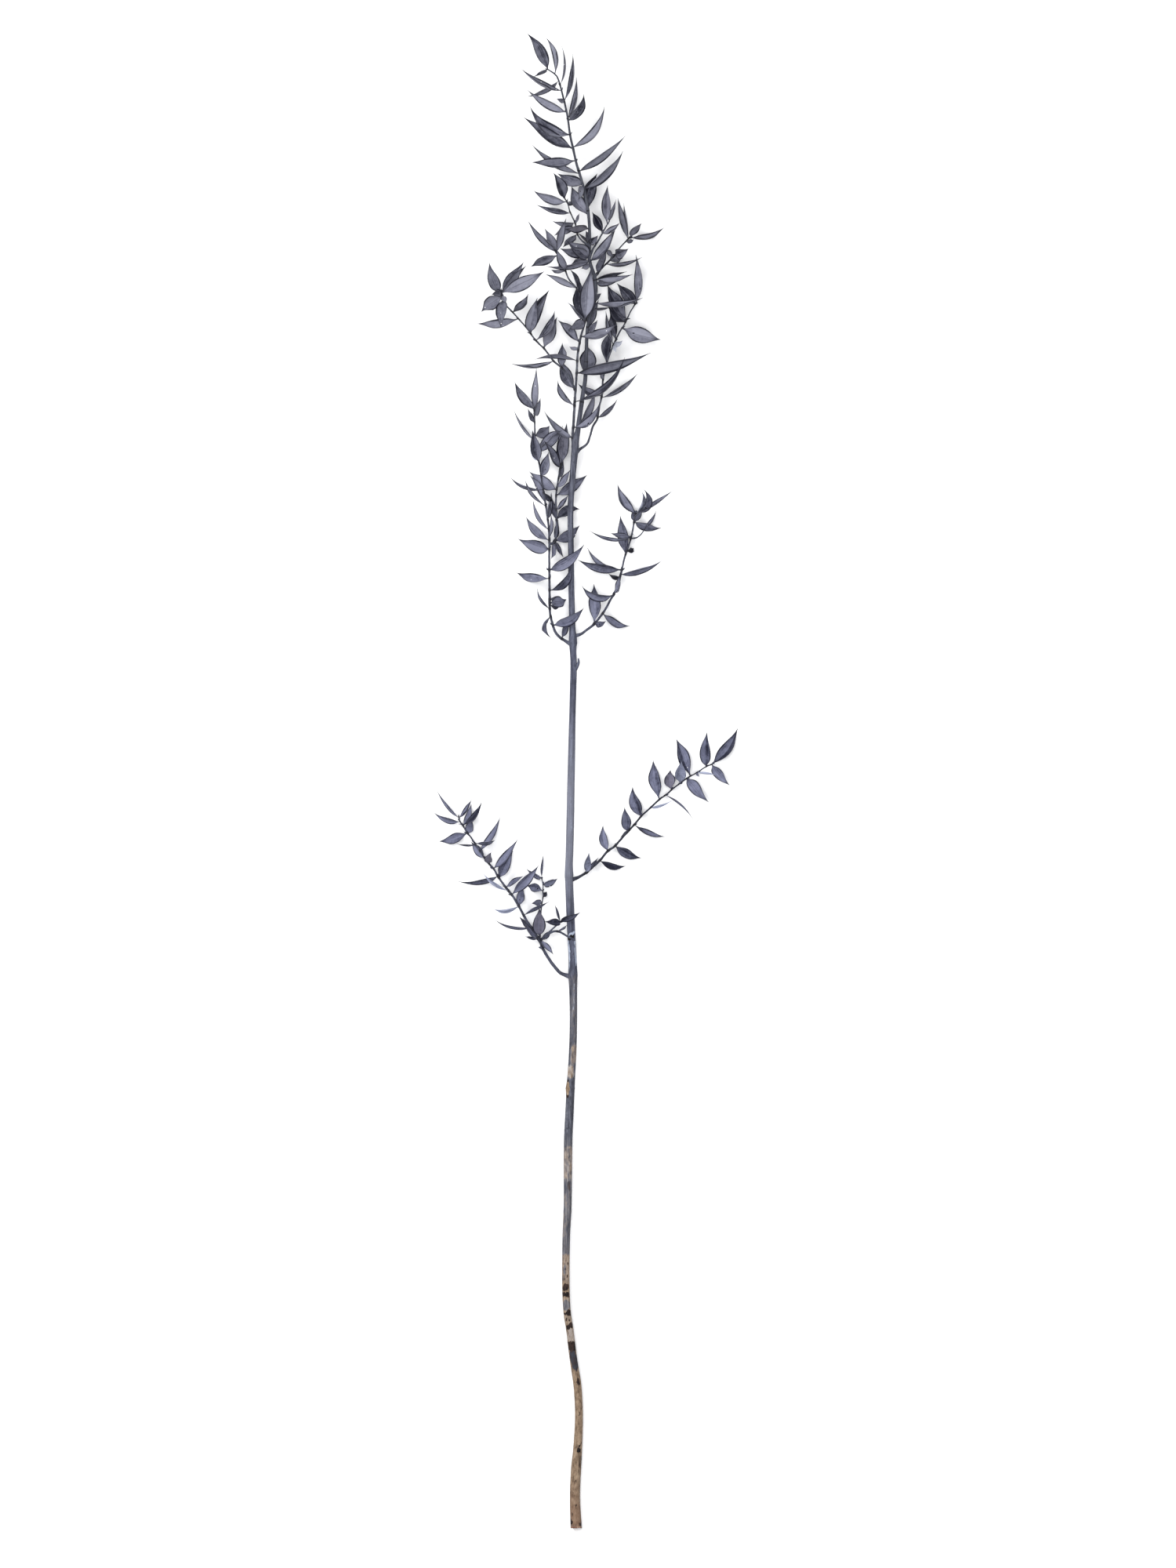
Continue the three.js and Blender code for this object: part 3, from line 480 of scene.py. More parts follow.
def tip_height(corners, x, y, expected):
    """How high the CAD ends this blade, once it had bent it clear of the others."""
    near = corners[np.hypot(corners[:, 0] - x, corners[:, 1] - y) < TIP_REACH]
    if not len(near):
        return expected
    return float(near[np.argmin(np.abs(near[:, 2] - expected)), 2])


def read_blade(lines, length, corners, x0, y0, x1, y1, seen, bow=0, lean=0, fuller=0):
    """Works out a blade from its row, with the numbers that the CAD uses."""
    foot, twig_way = foot_on(lines, x0, y0)
    run = math.hypot(x1 - foot[0], y1 - foot[1])
    real = max(run * 1.04, min(length * (.8 + .35 * draw()), run * 2))
    side = lean or (1 if draw() < .5 else -1)
    rise = min(math.sqrt(real * real - run * run), STEEPEST) * side
    full = max(seen, min(real * BLADE_WIDTH, seen * 3))
    roll = math.acos(seen / full) * (1 if draw() < .5 else -1)
    height = tip_height(corners, x1, y1, max(foot[2] + rise, 0))
    wide = fuller or seen
    return {
        "foot": foot, "tip": (x1, y1, height), "full": full * wide / seen, "bow": bow,
        "roll": roll, "seen": wide, "twig_way": twig_way,
    }


# --- shapes ---

FULLER_FROM, FULLER_OVER = 700, 250  # every leaf is a little fuller, and more so up here
FIT_LIMITS = (.3, 2.2)  # how far a ring may be squeezed or stretched to fit the outline
TWIST, LEAN, CURL, FOLD = (-.6, .6), (.84, 1.16), (.05, .45), (.18, .55)  # drawn from
SHALLOWER = .16  # taken off every fold, as in the CAD
LEAF_THICK, STALK_THICK = .17, .24  # half the thickness in mm, and what the stalk adds
RIDGE_BELOW, RIDGE_ABOVE = .16, -.05  # how far the midrib stands out of each face
SCAR_HEIGHT = .35
LOWEST_LEAF, LOWEST_TWIG, LOWEST_BARK = .15, .05, .02  # how near the floor each may come
BRACT_TONE = -.09
BACK_TONE = .02  # the undersides are a little lighter
TWIG_SLIM = .76  # the CAD's twigs are a little stouter than the real ones
TWIG_STEP, TWIG_SIDES = .9, 12

# Half width along a blade, as a share of its widest.
OUTLINE = [
    (0,.1), (.04,.11), (.08,.18), (.13,.4), (.19,.66), (.27,.88), (.36,1), (.45,1),
    (.54,.94), (.63,.79), (.72,.57), (.8,.36), (.87,.2), (.94,.08), (1,.012),
]
# Where a blade has its rings, and where a ring has its corners, from edge to edge.
STATIONS = np.array([0, .025, .05, .08, .12, .17, .23, .3, .37, .44, .51, .58, .65, .72,
                     .78, .84, .89, .93, .965, 1])
COLUMNS = np.array([-1, -.93, -.74, -.48, -.22, 0, .22, .48, .74, .93, 1])
RING_ACROSS = np.concatenate([COLUMNS, COLUMNS[-2:0:-1]])
RING_FACE = np.concatenate([[0], np.ones(9), [0], -np.ones(9)])  # above, below, or an edge


class Shape:
    """Gathers rings into one mesh, with values for the material at each corner."""

    def __init__(self):
        self.points, self.faces, self.sharp = [], [], []
        self.values = {}

    def add(self, rings, values, sharp=()):
        """Rings is an array of stations, places round the ring, and x, y, z. Both ends close
        flat. The edges that run along the places in sharp stay sharp."""
        stations, sides, _ = rings.shape
        base = len(self.points)
        self.points.extend(rings.reshape(-1, 3).tolist())
        for name, value in values.items():
            rows = np.asarray(value).reshape(stations * sides, -1)
            self.values.setdefault(name, []).extend(rows.tolist())
        starts = range(base, base + (stations - 1) * sides, sides)
        for start in starts:
            for j in range(sides):
                a, b = start + j, start + (j + 1) % sides
                self.faces.append((a, b, b + sides, a + sides))
        end = base + (stations - 1) * sides
        self.faces.append(tuple(reversed(range(base, base + sides))))
        self.faces.append(tuple(range(end, end + sides)))
        self.sharp += [(start + j, start + sides + j) for j in sharp for start in starts]

    def build(self, name, material):
        mesh = bpy.data.meshes.new(name)
        points = [(x * .001, y * .001, z * .001) for x, y, z in self.points]
        mesh.from_pydata(points, [], self.faces)
        mesh.polygons.foreach_set("use_smooth", [True] * len(mesh.polygons))
        wanted = {tuple(sorted(pair)) for pair in self.sharp}
        for edge in mesh.edges:
            if tuple(sorted(edge.vertices)) in wanted:
                edge.use_edge_sharp = True
        for key, rows in self.values.items():
            table = np.array(rows, np.float32)
            kind = "FLOAT" if table.shape[1] == 1 else "FLOAT_VECTOR"
            attribute = mesh.attributes.new(key, kind, "POINT")
            attribute.data.foreach_set("value" if kind == "FLOAT" else "vector", table.ravel())
        mesh.materials.append(material)
        mesh.validate()
        return link(name, mesh)


def unit(vectors):
    return vectors / np.linalg.norm(vectors, axis=-1, keepdims=True)


def smooth_line(rows, step):
    """A Catmull-Rom line through the rows, any number of columns, about a step apart."""
    rows = np.array(rows, float)
    padded = np.vstack([2 * rows[0] - rows[1], rows, 2 * rows[-1] - rows[-2]])
    made = []
    for i in range(len(rows) - 1):
        p0, p1, p2, p3 = padded[i : i + 4]
        count = max(1, round(np.linalg.norm((p2 - p1)[:3]) / step))
        for t in np.arange(count) / count:
            made.append(
                .5 * (2 * p1 + (p2 - p0) * t + (2 * p0 - 5 * p1 + 4 * p2 - p3) * t**2
                       + (3 * p1 - p0 - 3 * p2 + p3) * t**3)
            )
    made.append(rows[-1])
    return np.array(made)


def frames(line):
    """Left and up at each point of a line."""
    tangent = unit(np.gradient(line, axis=0))
    left = unit(np.cross([0, 0, 1], tangent))
    return left, np.cross(tangent, left)


def sweep(line, left, up, aside, lift):
    """Rings along a line, with each corner so far to the left of it and so far above it."""
    return line[:, None] + left[:, None] * aside[..., None] + up[:, None] * lift[..., None]


def bell(distance, width):
    """1 at no distance, falling away over the width."""
    return np.exp(-((distance / width) ** 2))


def outline(u, lean):
    """The half width at u, smoothed, and with the widest place moved by lean."""
    places, widths = zip(*OUTLINE)
    fine = np.linspace(0, 1, 201)
    raw = np.interp(fine, places, widths)
    padded = np.concatenate([np.full(4, raw[0]), raw, np.full(4, raw[-1])])
    return np.interp(np.power(u, lean), fine, np.convolve(padded, np.ones(9) / 9, "valid"))


def blade_line(blade, u):
    foot, tip = np.array(blade["foot"]), np.array(blade["tip"])
    chord = np.array([tip[0] - foot[0], tip[1] - foot[1], 0])
    across = np.cross([0, 0, 1], unit(chord))
    line = foot[None] + chord[None] * u[:, None]
    line[:, 2] = foot[2] + (tip[2] - foot[2]) * u * (1.4 - .4 * u)
    return line + across[None] * (blade["bow"] * 4 * u * (1 - u))[:, None]


def fit_plan(rings, blade, shape_of, wobble):
    """Slides each ring sideways until, seen from above, the blade has its own width and bow."""
    foot, tip = np.array(blade["foot"][:2]), np.array(blade["tip"][:2])
    way = unit(tip - foot)
    across = np.array([-way[1], way[0]])
    reach = (rings[..., :2] - foot) @ across
    low, high = reach.min(axis=1), reach.max(axis=1)
    middle, width = (low + high) / 2, np.maximum(high - low, .05)
    fuller = .3 + .4 * min(max((foot[1] - FULLER_FROM) / FULLER_OVER, 0), 1)
    wanted = np.maximum(blade["seen"] * shape_of + fuller * np.sin(math.pi * STATIONS), .2)
    place = blade["bow"] * 4 * STATIONS * (1 - STATIONS) + wobble * wanted
    share = np.clip(wanted / width, *FIT_LIMITS)
    moved = place[:, None] + (reach - middle[:, None]) * share[:, None] - reach
    rings[..., :2] += moved[..., None] * across


def add_blade(shape, blade, rng, tone=0, pale=0, brown=0, scar=False):
    """One fine leaf: folded along the midrib, curled and rippled at its dry edges."""
    u = STATIONS
    line = blade_line(blade, u)
    length = np.linalg.norm(np.diff(line, axis=0), axis=1).sum()
    left, up = frames(line)
    twist = rng.uniform(*TWIST)
    angle = blade["roll"] * (.35 + .65 * np.clip(u / .15, 0, 1)) + twist * (u - .45)
    cos, sin = np.cos(angle)[:, None], np.sin(angle)[:, None]
    left, up = left * cos + up * sin, up * cos - left * sin
    shape_of = outline(u, rng.uniform(*LEAN))
    wobble = rng.uniform(-.05, .05)
    wobble = wobble * np.sin(math.pi * (rng.uniform(1.5, 2.6) * u + rng.random()))
    half = np.maximum(blade["full"] / 2 * shape_of, .04)
    half *= 1 + .04 * np.sin(2 * math.pi * (rng.uniform(1.5, 2.5) * u + rng.random()))

    v = RING_ACROSS[None]
    rim = np.abs(v)
    half, along = half[:, None], u[:, None]
    uneven = 1 + rng.uniform(-.1, .1) * np.sign(v)
    curl, fold, waves = rng.uniform(*CURL), rng.uniform(*FOLD), rng.uniform(1.6, 3.2)
    phase = np.where(v > 0, rng.random(), rng.random())
    ripple = .13 * np.sin(2 * math.pi * (waves * along + phase)) * rim**2
    aside = half * v * uneven * (1 - .12 * curl * rim**2)
    lift = half * (fold * rim**1.15 + curl * rim**3 + ripple - SHALLOWER)
    thick = LEAF_THICK * (1 - .4 * along) * (1 - .8 * rim**4)
    thick = thick + STALK_THICK * bell(along, .07) * (1 - rim**2)
    ridge = bell(v, .11) * (1 - along) * np.where(RING_FACE < 0, RIDGE_BELOW, RIDGE_ABOVE)
    rings = sweep(line, left, up, aside, lift + RING_FACE * (thick + ridge))
    if "seen" in blade:
        fit_plan(rings, blade, shape_of, wobble)
    rings[..., 2] += np.maximum(LOWEST_LEAF - rings[..., 2].min(axis=1), 0)[:, None]
    mark = np.zeros(rings.shape[:2])
    if scar:
        near = ((along - rng.uniform(.26, .42)) * length) ** 2 + aside**2
        mark = np.exp(-near / .8)
        rings[..., 2] += SCAR_HEIGHT * np.exp(-near / 1.6) * (RING_FACE[None] > 0)

    u_all, v_all = np.broadcast_arrays(along, v)
    whole = np.ones(u_all.shape)
    # Painted light and shade: the blade is lighter on one side of the midrib fold and darker on
    # the other.
    lit_and_shaded_halves = rng.choice((-1, 1)) * rng.uniform(.01, .07) * np.tanh(v_all / .12)
    ends = rng.uniform(-.045, .045) * (u_all - .5) * 2
    backs = np.where(RING_FACE < 0, BACK_TONE, 0)[None]
    values = {
        "blade": np.stack([u_all, v_all, whole * rng.uniform(0, 40)], -1),
        "tone": tone + lit_and_shaded_halves + ends + backs,
        "pale": whole * pale,
        "brown": whole * brown,
        "scar": mark,
    }
    shape.add(rings, values, sharp=(0, len(COLUMNS) - 1))


def add_bract(shape, blade, rng):
    """The papery scale that a leaf grows out of."""
    foot = np.array(blade["foot"])
    leafward = unit(np.array(blade["tip"]) - foot)
    out = rng.uniform(.3, .9) * (-1 if rng.random() < .35 else 1)
    way = unit(np.array(blade["twig_way"])) + out * leafward
    way = way + np.array([0, 0, rng.uniform(-.1, .4)])
    tip = foot + unit(way) * rng.uniform(1.8, 3.4)
    scale = {
        "foot": blade["foot"], "tip": tuple(tip), "full": rng.uniform(.8, 1.5),
        "bow": rng.uniform(-.3, .3), "roll": rng.uniform(-.8, .8),
    }
    add_blade(shape, scale, rng, tone=BRACT_TONE)


def twig_rows(twig):
    """The twig's smoothed line, with its radius in a fourth column."""
    thick, thin = twig[2:4]
    points = twig_points(twig)
    last = len(points) - 1
    rows = [
        (*point, TWIG_SLIM * (thick + (thin - thick) * i / last) / 2)
        for i, point in enumerate(points)
    ]
    return smooth_line(rows, TWIG_STEP)


def add_twig(shape, twig, feet, flare, others=()):
    """A round twig, swollen and dark where each foot is, and wider where it starts."""
    rows = twig_rows(twig)
    line, radius = rows[:, :3], rows[:, 3].copy()
    left, up = frames(line)
    dark = np.zeros(len(line))
    for foot in feet:
        away = np.linalg.norm(line - np.array(foot), axis=1)
        radius *= 1 + .22 * bell(away, .9)
        dark = np.maximum(dark, bell(away, 1.3))
    run = np.concatenate([[0], np.cumsum(np.linalg.norm(np.diff(line, axis=0), axis=1))])
    radius *= 1 + flare * bell(run, 4.5)
    turn = np.arange(TWIG_SIDES) / TWIG_SIDES * 2 * math.pi
    rough = np.array([
        [noise.noise((math.cos(a) * 1.3, math.sin(a) * 1.3, d * .35 + line[0][0])) for a in turn]
        for d in run
    ])
    reach = radius[:, None] * (1 + .16 * rough)
    rings = sweep(line, left, up, np.cos(turn) * reach, np.sin(turn) * reach)
    rings[..., 2] = np.maximum(rings[..., 2], LOWEST_TWIG)
    values = {name: np.zeros(rings.shape[:2]) for name in others}
    values["dark"] = np.repeat(dark[:, None], TWIG_SIDES, 1)
    shape.add(rings, values)


# --- the stem's marks ---

# Patches of the bark: side (-1 is the left edge seen from above, 1 the right edge) and y of the
# middle, half of the size each way, strength, and how far y climbs from the middle to the edge.
BARE = [
    (0,75, 3,87, 1), (0,170.5, 3,8.5, .62), (0,206, 3,17, .36), (0,226, 3,6, .28),
    (.1,242, 3,12, .5), (-.66,294, .42,4.2, 1), (-.2,305.5, .75,4.2, .9), (.4,318, .8,7, .52),
    (.1,338, .55,12, .34), (.2,360, .3,8, .34),
]
PAINTED = [
    (-.1,143.2, .95,3.6, .75), (.1,105, .95,7.5, .85,-2), (.5,200, .5,8, .2), (-.4,168, .3,3, .3),
]
DARK = [
    (-.1,155.6, .8,2.1, 1,.5), (0,150.4, .9,2, 1,-.4), (.35,137.4, .6,2.2, 1,.3),
    (-.6,137.2, .36,1.5, .9), (.3,132.4, .3,1.1, .7), (-.4,133, .26,1, .7),
    (.1,128.2, .85,1.9, 1,.4), (0,114.4, 1,3.4, 1), (.15,106, .9,7.4, .44,-2),
    (-.1,96.5, .16,3, .6), (.4,97.5, .16,2.4, .55), (.35,89.8, .4,3, .9), (.4,45, .6,.9, .6,4.4),
    (.3,41.6, .42,1.5, .85), (.72,34, .4,5, .5), (.32,68.6, .6,.8, .56,5.2), (.3,226, .55,3.4, .5),
    (0,184, 1.2,5.2, .4), (-.2,168, .2,1.1, .7), (.4,163, .26,1.2, .7), (-.45,161.5, .2,1, .65),
    (.45,172, .3,1.4, .5), (-.75,299, .3,1, .7), (-.75,288.8, .35,1.1, .7), (.5,296, .5,6, .3),
    (0,206, .4,5, .25), (-.3,399.6, .9,1.8, .95,.8), (.4,80, .12,.8, .6), (-.3,61, .12,.9, .5),
    (.1,21, .14,.8, .7), (.5,27, .2,1.6, .5), (-.4,12, .2,1, .5), (.2,3, .2,1, .6),
    (.75,-10.5, .3,1.6, .75), (-.9,-8, .2,2.4, .7), (-.6,-3, .2,1.4, .5), (0,8, 3,20, .2),
    (0,60, 3,32, .1), (0,386, 1.4,11, .28), (0,340, 3,30, .24), (0,272, 3,26, .2),
    (0,215, 3,30, .16),
]
FLAKES = [
    (-.8,390, .3,8, .6), (.75,388, .25,10, .52), (-.7,378, .3,5, .4), (.1,402, 1.15,.75, .85,1.5),
    (.1,367, .35,4, .36,1), (.2,352, .3,9, .25), (-.3,313.5, .3,2, .3),
]
DUSTY = [
    (0,208, 3,48, .42), (0,241, 3,12, .75), (-.2,306, .9,5, 1), (.3,318, .9,8, .5),
    (0,350, 3,22, .3), (0,143, 1,5, .5), (0,121.5, 3,5, .8), (0,168, 3,9, .35), (0,134.5, 3,8, .3),
]
# Where the axis is ringed, and by how much, in mm.
NODES = [
    (373,.12), (442,.1), (604,.2), (741,.2), (294,.1), (208,.1), (117,.12), (772,.12), (800,.12),
    (824,.15), (842,.15), (857,.2), (874,.2), (905,.15), (933,.12), (948,.12), (958,.12), (969,.1),
    (981,.1), (993,.1),
]
MARKED_TO = 410  # the bark above here is painted all over
SLIM_FROM = 750  # the top of the axis is finer than the CAD's
RED_TO = 24  # the bark reddens from here to the cut
SCAR_AT = 294  # a knob stands on the right side here
BARK_SIDES = 32
RAGGED_RINGS = 5
CUT_RINGS = [(.02, .5), (.3, .35), (.62, .2), (.88, .1)]  # size, and push into the cut
STEM_ONLY = ("bare", "flake", "red", "dusty")  # marks that no twig has
# The power of a patch's outline: nearly a rectangle, or rounded, as every narrow patch is.
SQUARE, ROUND, WIDE_PATCH = 4.5, 2.6, .5


def patch(side, y, square, s0, y0, wide, high, strength, climb=0):
    """How strongly one patch covers this place on the bark."""
    rise = y - y0 - climb * (side - s0)
    if abs(rise) >= high * 1.3:
        return 0
    power = square if wide > WIDE_PATCH else ROUND
    away = (abs(side - s0) / wide) ** power + (abs(rise) / high) ** power
    return strength * min(max((1.35 - away) / .6, 0), 1)


def cover(marks, side, y, square=ROUND):
    """How strongly the strongest of the patches covers this place."""
    return max(patch(side, y, square, *mark) for mark in marks)


def paint_marks(y, c, s):
    """What shows at this height and this way round the stem."""
    wander = noise.noise((c * 2, s * 2, y * .22)) * 1.3
    wander += noise.noise((c * 4, s * 4, y * .7)) * .7
    side = -c + noise.noise((y * .4, c * 2, s * 2 + 7)) * .22
    place = (side, y + wander)
    return {
        "bare": max(cover(BARE, *place) - cover(PAINTED, *place), 0),
        "dark": cover(DARK, *place, SQUARE),
        "flake": cover(FLAKES, *place),
        "red": min(max((RED_TO - y - wander * 3) / 26, 0), 1),
        "dusty": cover(DUSTY, *place),
    }


def stem_surface(line, radius, turn):
    """How far the bark reaches at each corner of its rings, and what shows there."""
    marks = {name: np.zeros((len(line), len(turn))) for name in ("dark",) + STEM_ONLY}
    reach = np.zeros((len(line), len(turn)))
    for i, (point, r) in enumerate(zip(line, radius)):
        y = point[1]
        ring = sum(size * math.exp(-(((y - at) / 1.3) ** 2)) for at, size in NODES)
        node = sum(math.exp(-(((y - at) / 1.1) ** 2)) for at, _ in NODES if at > SLIM_FROM)
        for j, a in enumerate(turn):
            c, s = math.cos(a), math.sin(a)
            wave = noise.noise((c * 1.1, s * 1.1, y * .03)) * .05
            groove = noise.noise((c * 5.5, s * 5.5, y * .012)) * .045
            scar = math.exp(-(((-c + .85) / .4) ** 2) - ((y - SCAR_AT) / 3.4) ** 2)
            reach[i, j] = r * (1 + wave + groove) + ring + .6 * (scar * (s > -.3))
            if y < MARKED_TO:
                for name, value in paint_marks(y, c, s).items():
                    marks[name][i, j] = value
            else:
                marks["dark"][i, j] = .6 * min(node, 1)
    return reach, marks


def ragged_cut(rings, centre):
    """Breaks the cut end unevenly, and adds the smaller and smaller rings that close it."""
    for i in range(RAGGED_RINGS):
        for corner in rings[i]:
            jag = noise.noise((corner[0] * .9, corner[2] * .9, 5)) * 1.2 - .25
            corner[1] += jag * (1 - i / RAGGED_RINGS)
    caps = []
    for share, push in CUT_RINGS:
        ring = centre + (rings[0] - centre) * share
        ring[:, 1] = rings[0, :, 1] * share + (centre[1] - .2) * (1 - share) + push
        caps.append(ring)
    return np.concatenate([np.array(caps), rings])


def stem_piece(material, twigs):
    """The bark of the whole axis, ringed at its nodes, and the twigs of its own."""
    points = [(*axis_point(row), row[2] / 2) for row in AXIS]
    split = next(i for i, row in enumerate(AXIS) if row[1] > MARKED_TO)
    low, high = smooth_line(points[: split + 1], .6), smooth_line(points[split:], 1)
    rows = np.concatenate([low[:-1], high])
    line, radius = rows[:, :3], rows[:, 3].copy()
    radius *= 1 - .14 * np.clip((line[:, 1] - SLIM_FROM) / 60, 0, 1)
    left, up = frames(line)
    turn = (np.arange(BARK_SIDES) + .5) / BARK_SIDES * 2 * math.pi
    reach, marks = stem_surface(line, radius, turn)
    rings = ragged_cut(sweep(line, left, up, np.cos(turn) * reach, np.sin(turn) * reach), line[0])
    rings[..., 2] = np.maximum(rings[..., 2], LOWEST_BARK)
    caps = len(CUT_RINGS)
    values = {
        name: np.concatenate([np.repeat(table[:1], caps, 0), table])
        for name, table in marks.items()
    }
    values["cut"] = np.zeros(rings.shape[:2])
    values["cut"][: caps + 1] = 1
    values["cut"][caps + 1] = .5
    shape = Shape()
    shape.add(rings, values)
    for twig in twigs:
        add_twig(shape, twig, [], .5, STEM_ONLY + ("cut",))
    return shape.build("main_stem_bark", material)


# --- assembly ---


def dress(piece, node):
    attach(piece, "root")
    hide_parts(node)


make_camera()
make_studio()
make_floor()

SCARRED = .2  # the share of the leaves that has a scar
SPRAY_TONE = {"mid_left": .035, "crown_front": .016, "crown_right": .016}
TONE_OF = {tip: tone for tone, tips in TONES for tip in pairs(tips)}
leaf = leaf_material()
bark = stem_material()
twig_bark = twig_material("twig_bark", .8)
dark_bark = twig_material("dark_twig_bark", .42)


def spray(name, length, twigs, *blades):
    """Puts leaves and wood in the place of one node. Length is the usual one of its leaves.

    A twig is the lift of its foot and of its end over the axis beside the foot, its width at
    each, and its path. A blade is x and y of its foot and of its tip, the CAD's width seen from
    above, the bow of its midrib, whether it leans up (1), down (-1) or either (0), and the real
    width where that is fuller. What is left out at its end is 0.
    """
    rng = random.Random(name)
    corners = np.array([v.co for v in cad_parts[name].data.vertices]) * 1000
    lines = [twig_points(twig) for twig in twigs]
    if name == "main_stem":
        lines.append([axis_point(row) for row in AXIS])
    leaves = Shape()
    feet = []
    for row in blades:
        blade = read_blade(lines, length, corners, *row)
        feet.append(blade["foot"])
        tip = row[2:4]
        tone = TONE_OF.get(tip, 0) + rng.gauss(0, .015 if tip in TONE_OF else .028)
        tone += SPRAY_TONE.get(name, 0)
        scar = rng.random() < SCARRED
        add_blade(leaves, blade, rng, tone, PALE.get(tip, 0), BROWN.get(tip, 0), scar)
        add_bract(leaves, blade, rng)
    dress(leaves.build(name + "_leaves", leaf), name)
    if name == "main_stem":
        dress(stem_piece(bark, twigs), name)
        return
    wood = Shape()
    for number, twig in enumerate(twigs):
        add_twig(wood, twig, feet, .3 if number else .8)
    finish = dark_bark if name == "lower_right" else twig_bark
    dress(wood.build(name + "_twigs", finish), name)


spray("main_stem", 32, [
    (0,.8, 3,1.4, -.6,586, 1.9,590.5, 1.7,593.5),
    (0,6.5, 2,1.1, 9.2,872, 12,878.5, 15.5,884, 18,888.5, 20.5,893, 23.5,898)],
    (-19.5,1003.5, -34,1028.8, 6.4,-2.1,0,7.2), (-14.2,1000.8, -20.9,1026, 3.3,-3.4),
    (-20,1003.8, -29.6,998.4, 1.9), (-12.5,995.5, -34.8,984.8, 2.6,2.4),
    (-10.5,988.4, -38.4,1004.1, 3.4,2.2), (-10,992.5, -9.8,1020, 1,-2.7),
    (-6.8,981.5, -2.1,1014, 3,-2.2), (-8,980.8, -13.2,982.8, 2.6,0,1),
    (-8,973.3, -33.7,989.4, 5.2,2), (-3.9,969, .5,998, 3.3,-1.7), (-4,968, 5.6,985.8, 5.8,-3.1),
    (-5,957.8, -31.8,977.3, 6,5.2,0,7.4), (-3,947.8, -36.4,970, 7,.8,0,8),
    (-1,949.5, 20,978, 4.6,-5,0,5.4), (-1,939.7, -31,938.5, 6.8,.8),
    (1.5,930.5, -30.8,951.6, 4.5,3), (3.5,922.8, -12.5,931.2, 5.5,.6,0,8), (3.5,922, 2,912.3, 4.2),
    (6.5,920.5, 32.8,946.8, 5.4,-3.8), (10.3,905.5, 14.8,931.2, 7,1.8,-1,8.4),
    (4,933, 34.5,957, 4.7,-2.1), (9,902, -3,922.5, 7.4,1.2,0,8.6), (9.5,892.5, -7,892, 5),
    (9.4,873, -6.5,884, 8.5,0,1,10), (9.4,875, -10.8,878.6, 5.5,1.2,1,7),
    (9.6,870, -20.5,866.3, 3.2,2.6,1), (12.8,841, 46.5,844.3, 3.5,-2.5,1,4.2),
    (13.6,857, 39.7,860.7, 3.4,-1.4,1,4), (13.8,857.2, 35.5,863, 3,0,-1),
    (11.6,835.8, 24,838, 1.7), (9.6,870, -3.4,868, 5,-.6,-1), (10.4,868, 4,865, 4,0,-1),
    (9.6,881, 15.4,887.6, 4.5), (11,870, 28,893.6, 5,-1.8,1,6.4), (22.8,895, 22.2,922.5, 6,1),
    (18.6,890, 11.4,904.4, 5.5,0,-1), (23.4,897.5, 28,913, 2.4), (18.4,889, 30.6,896.4, 3.4,-1,1),
    (6.8,790, 7.6,812, 11.5,-1.2,-1), (2.2,756, 12.6,780.6, 4.5,-3,-1), (8.4,824, 16,843, 7,1,-1),
    (8,821.5, 15,828.8, 4.4,-1,1), (14,842, 17.8,848, 2.2), (13.8,855.2, 31,857.6, 4.6,-1.2,-1),
    (8.8,882.5, 7,891.5, 2.4,0,-1), (9.6,881, 1,890.2, 1.6,-.8,-1),
)
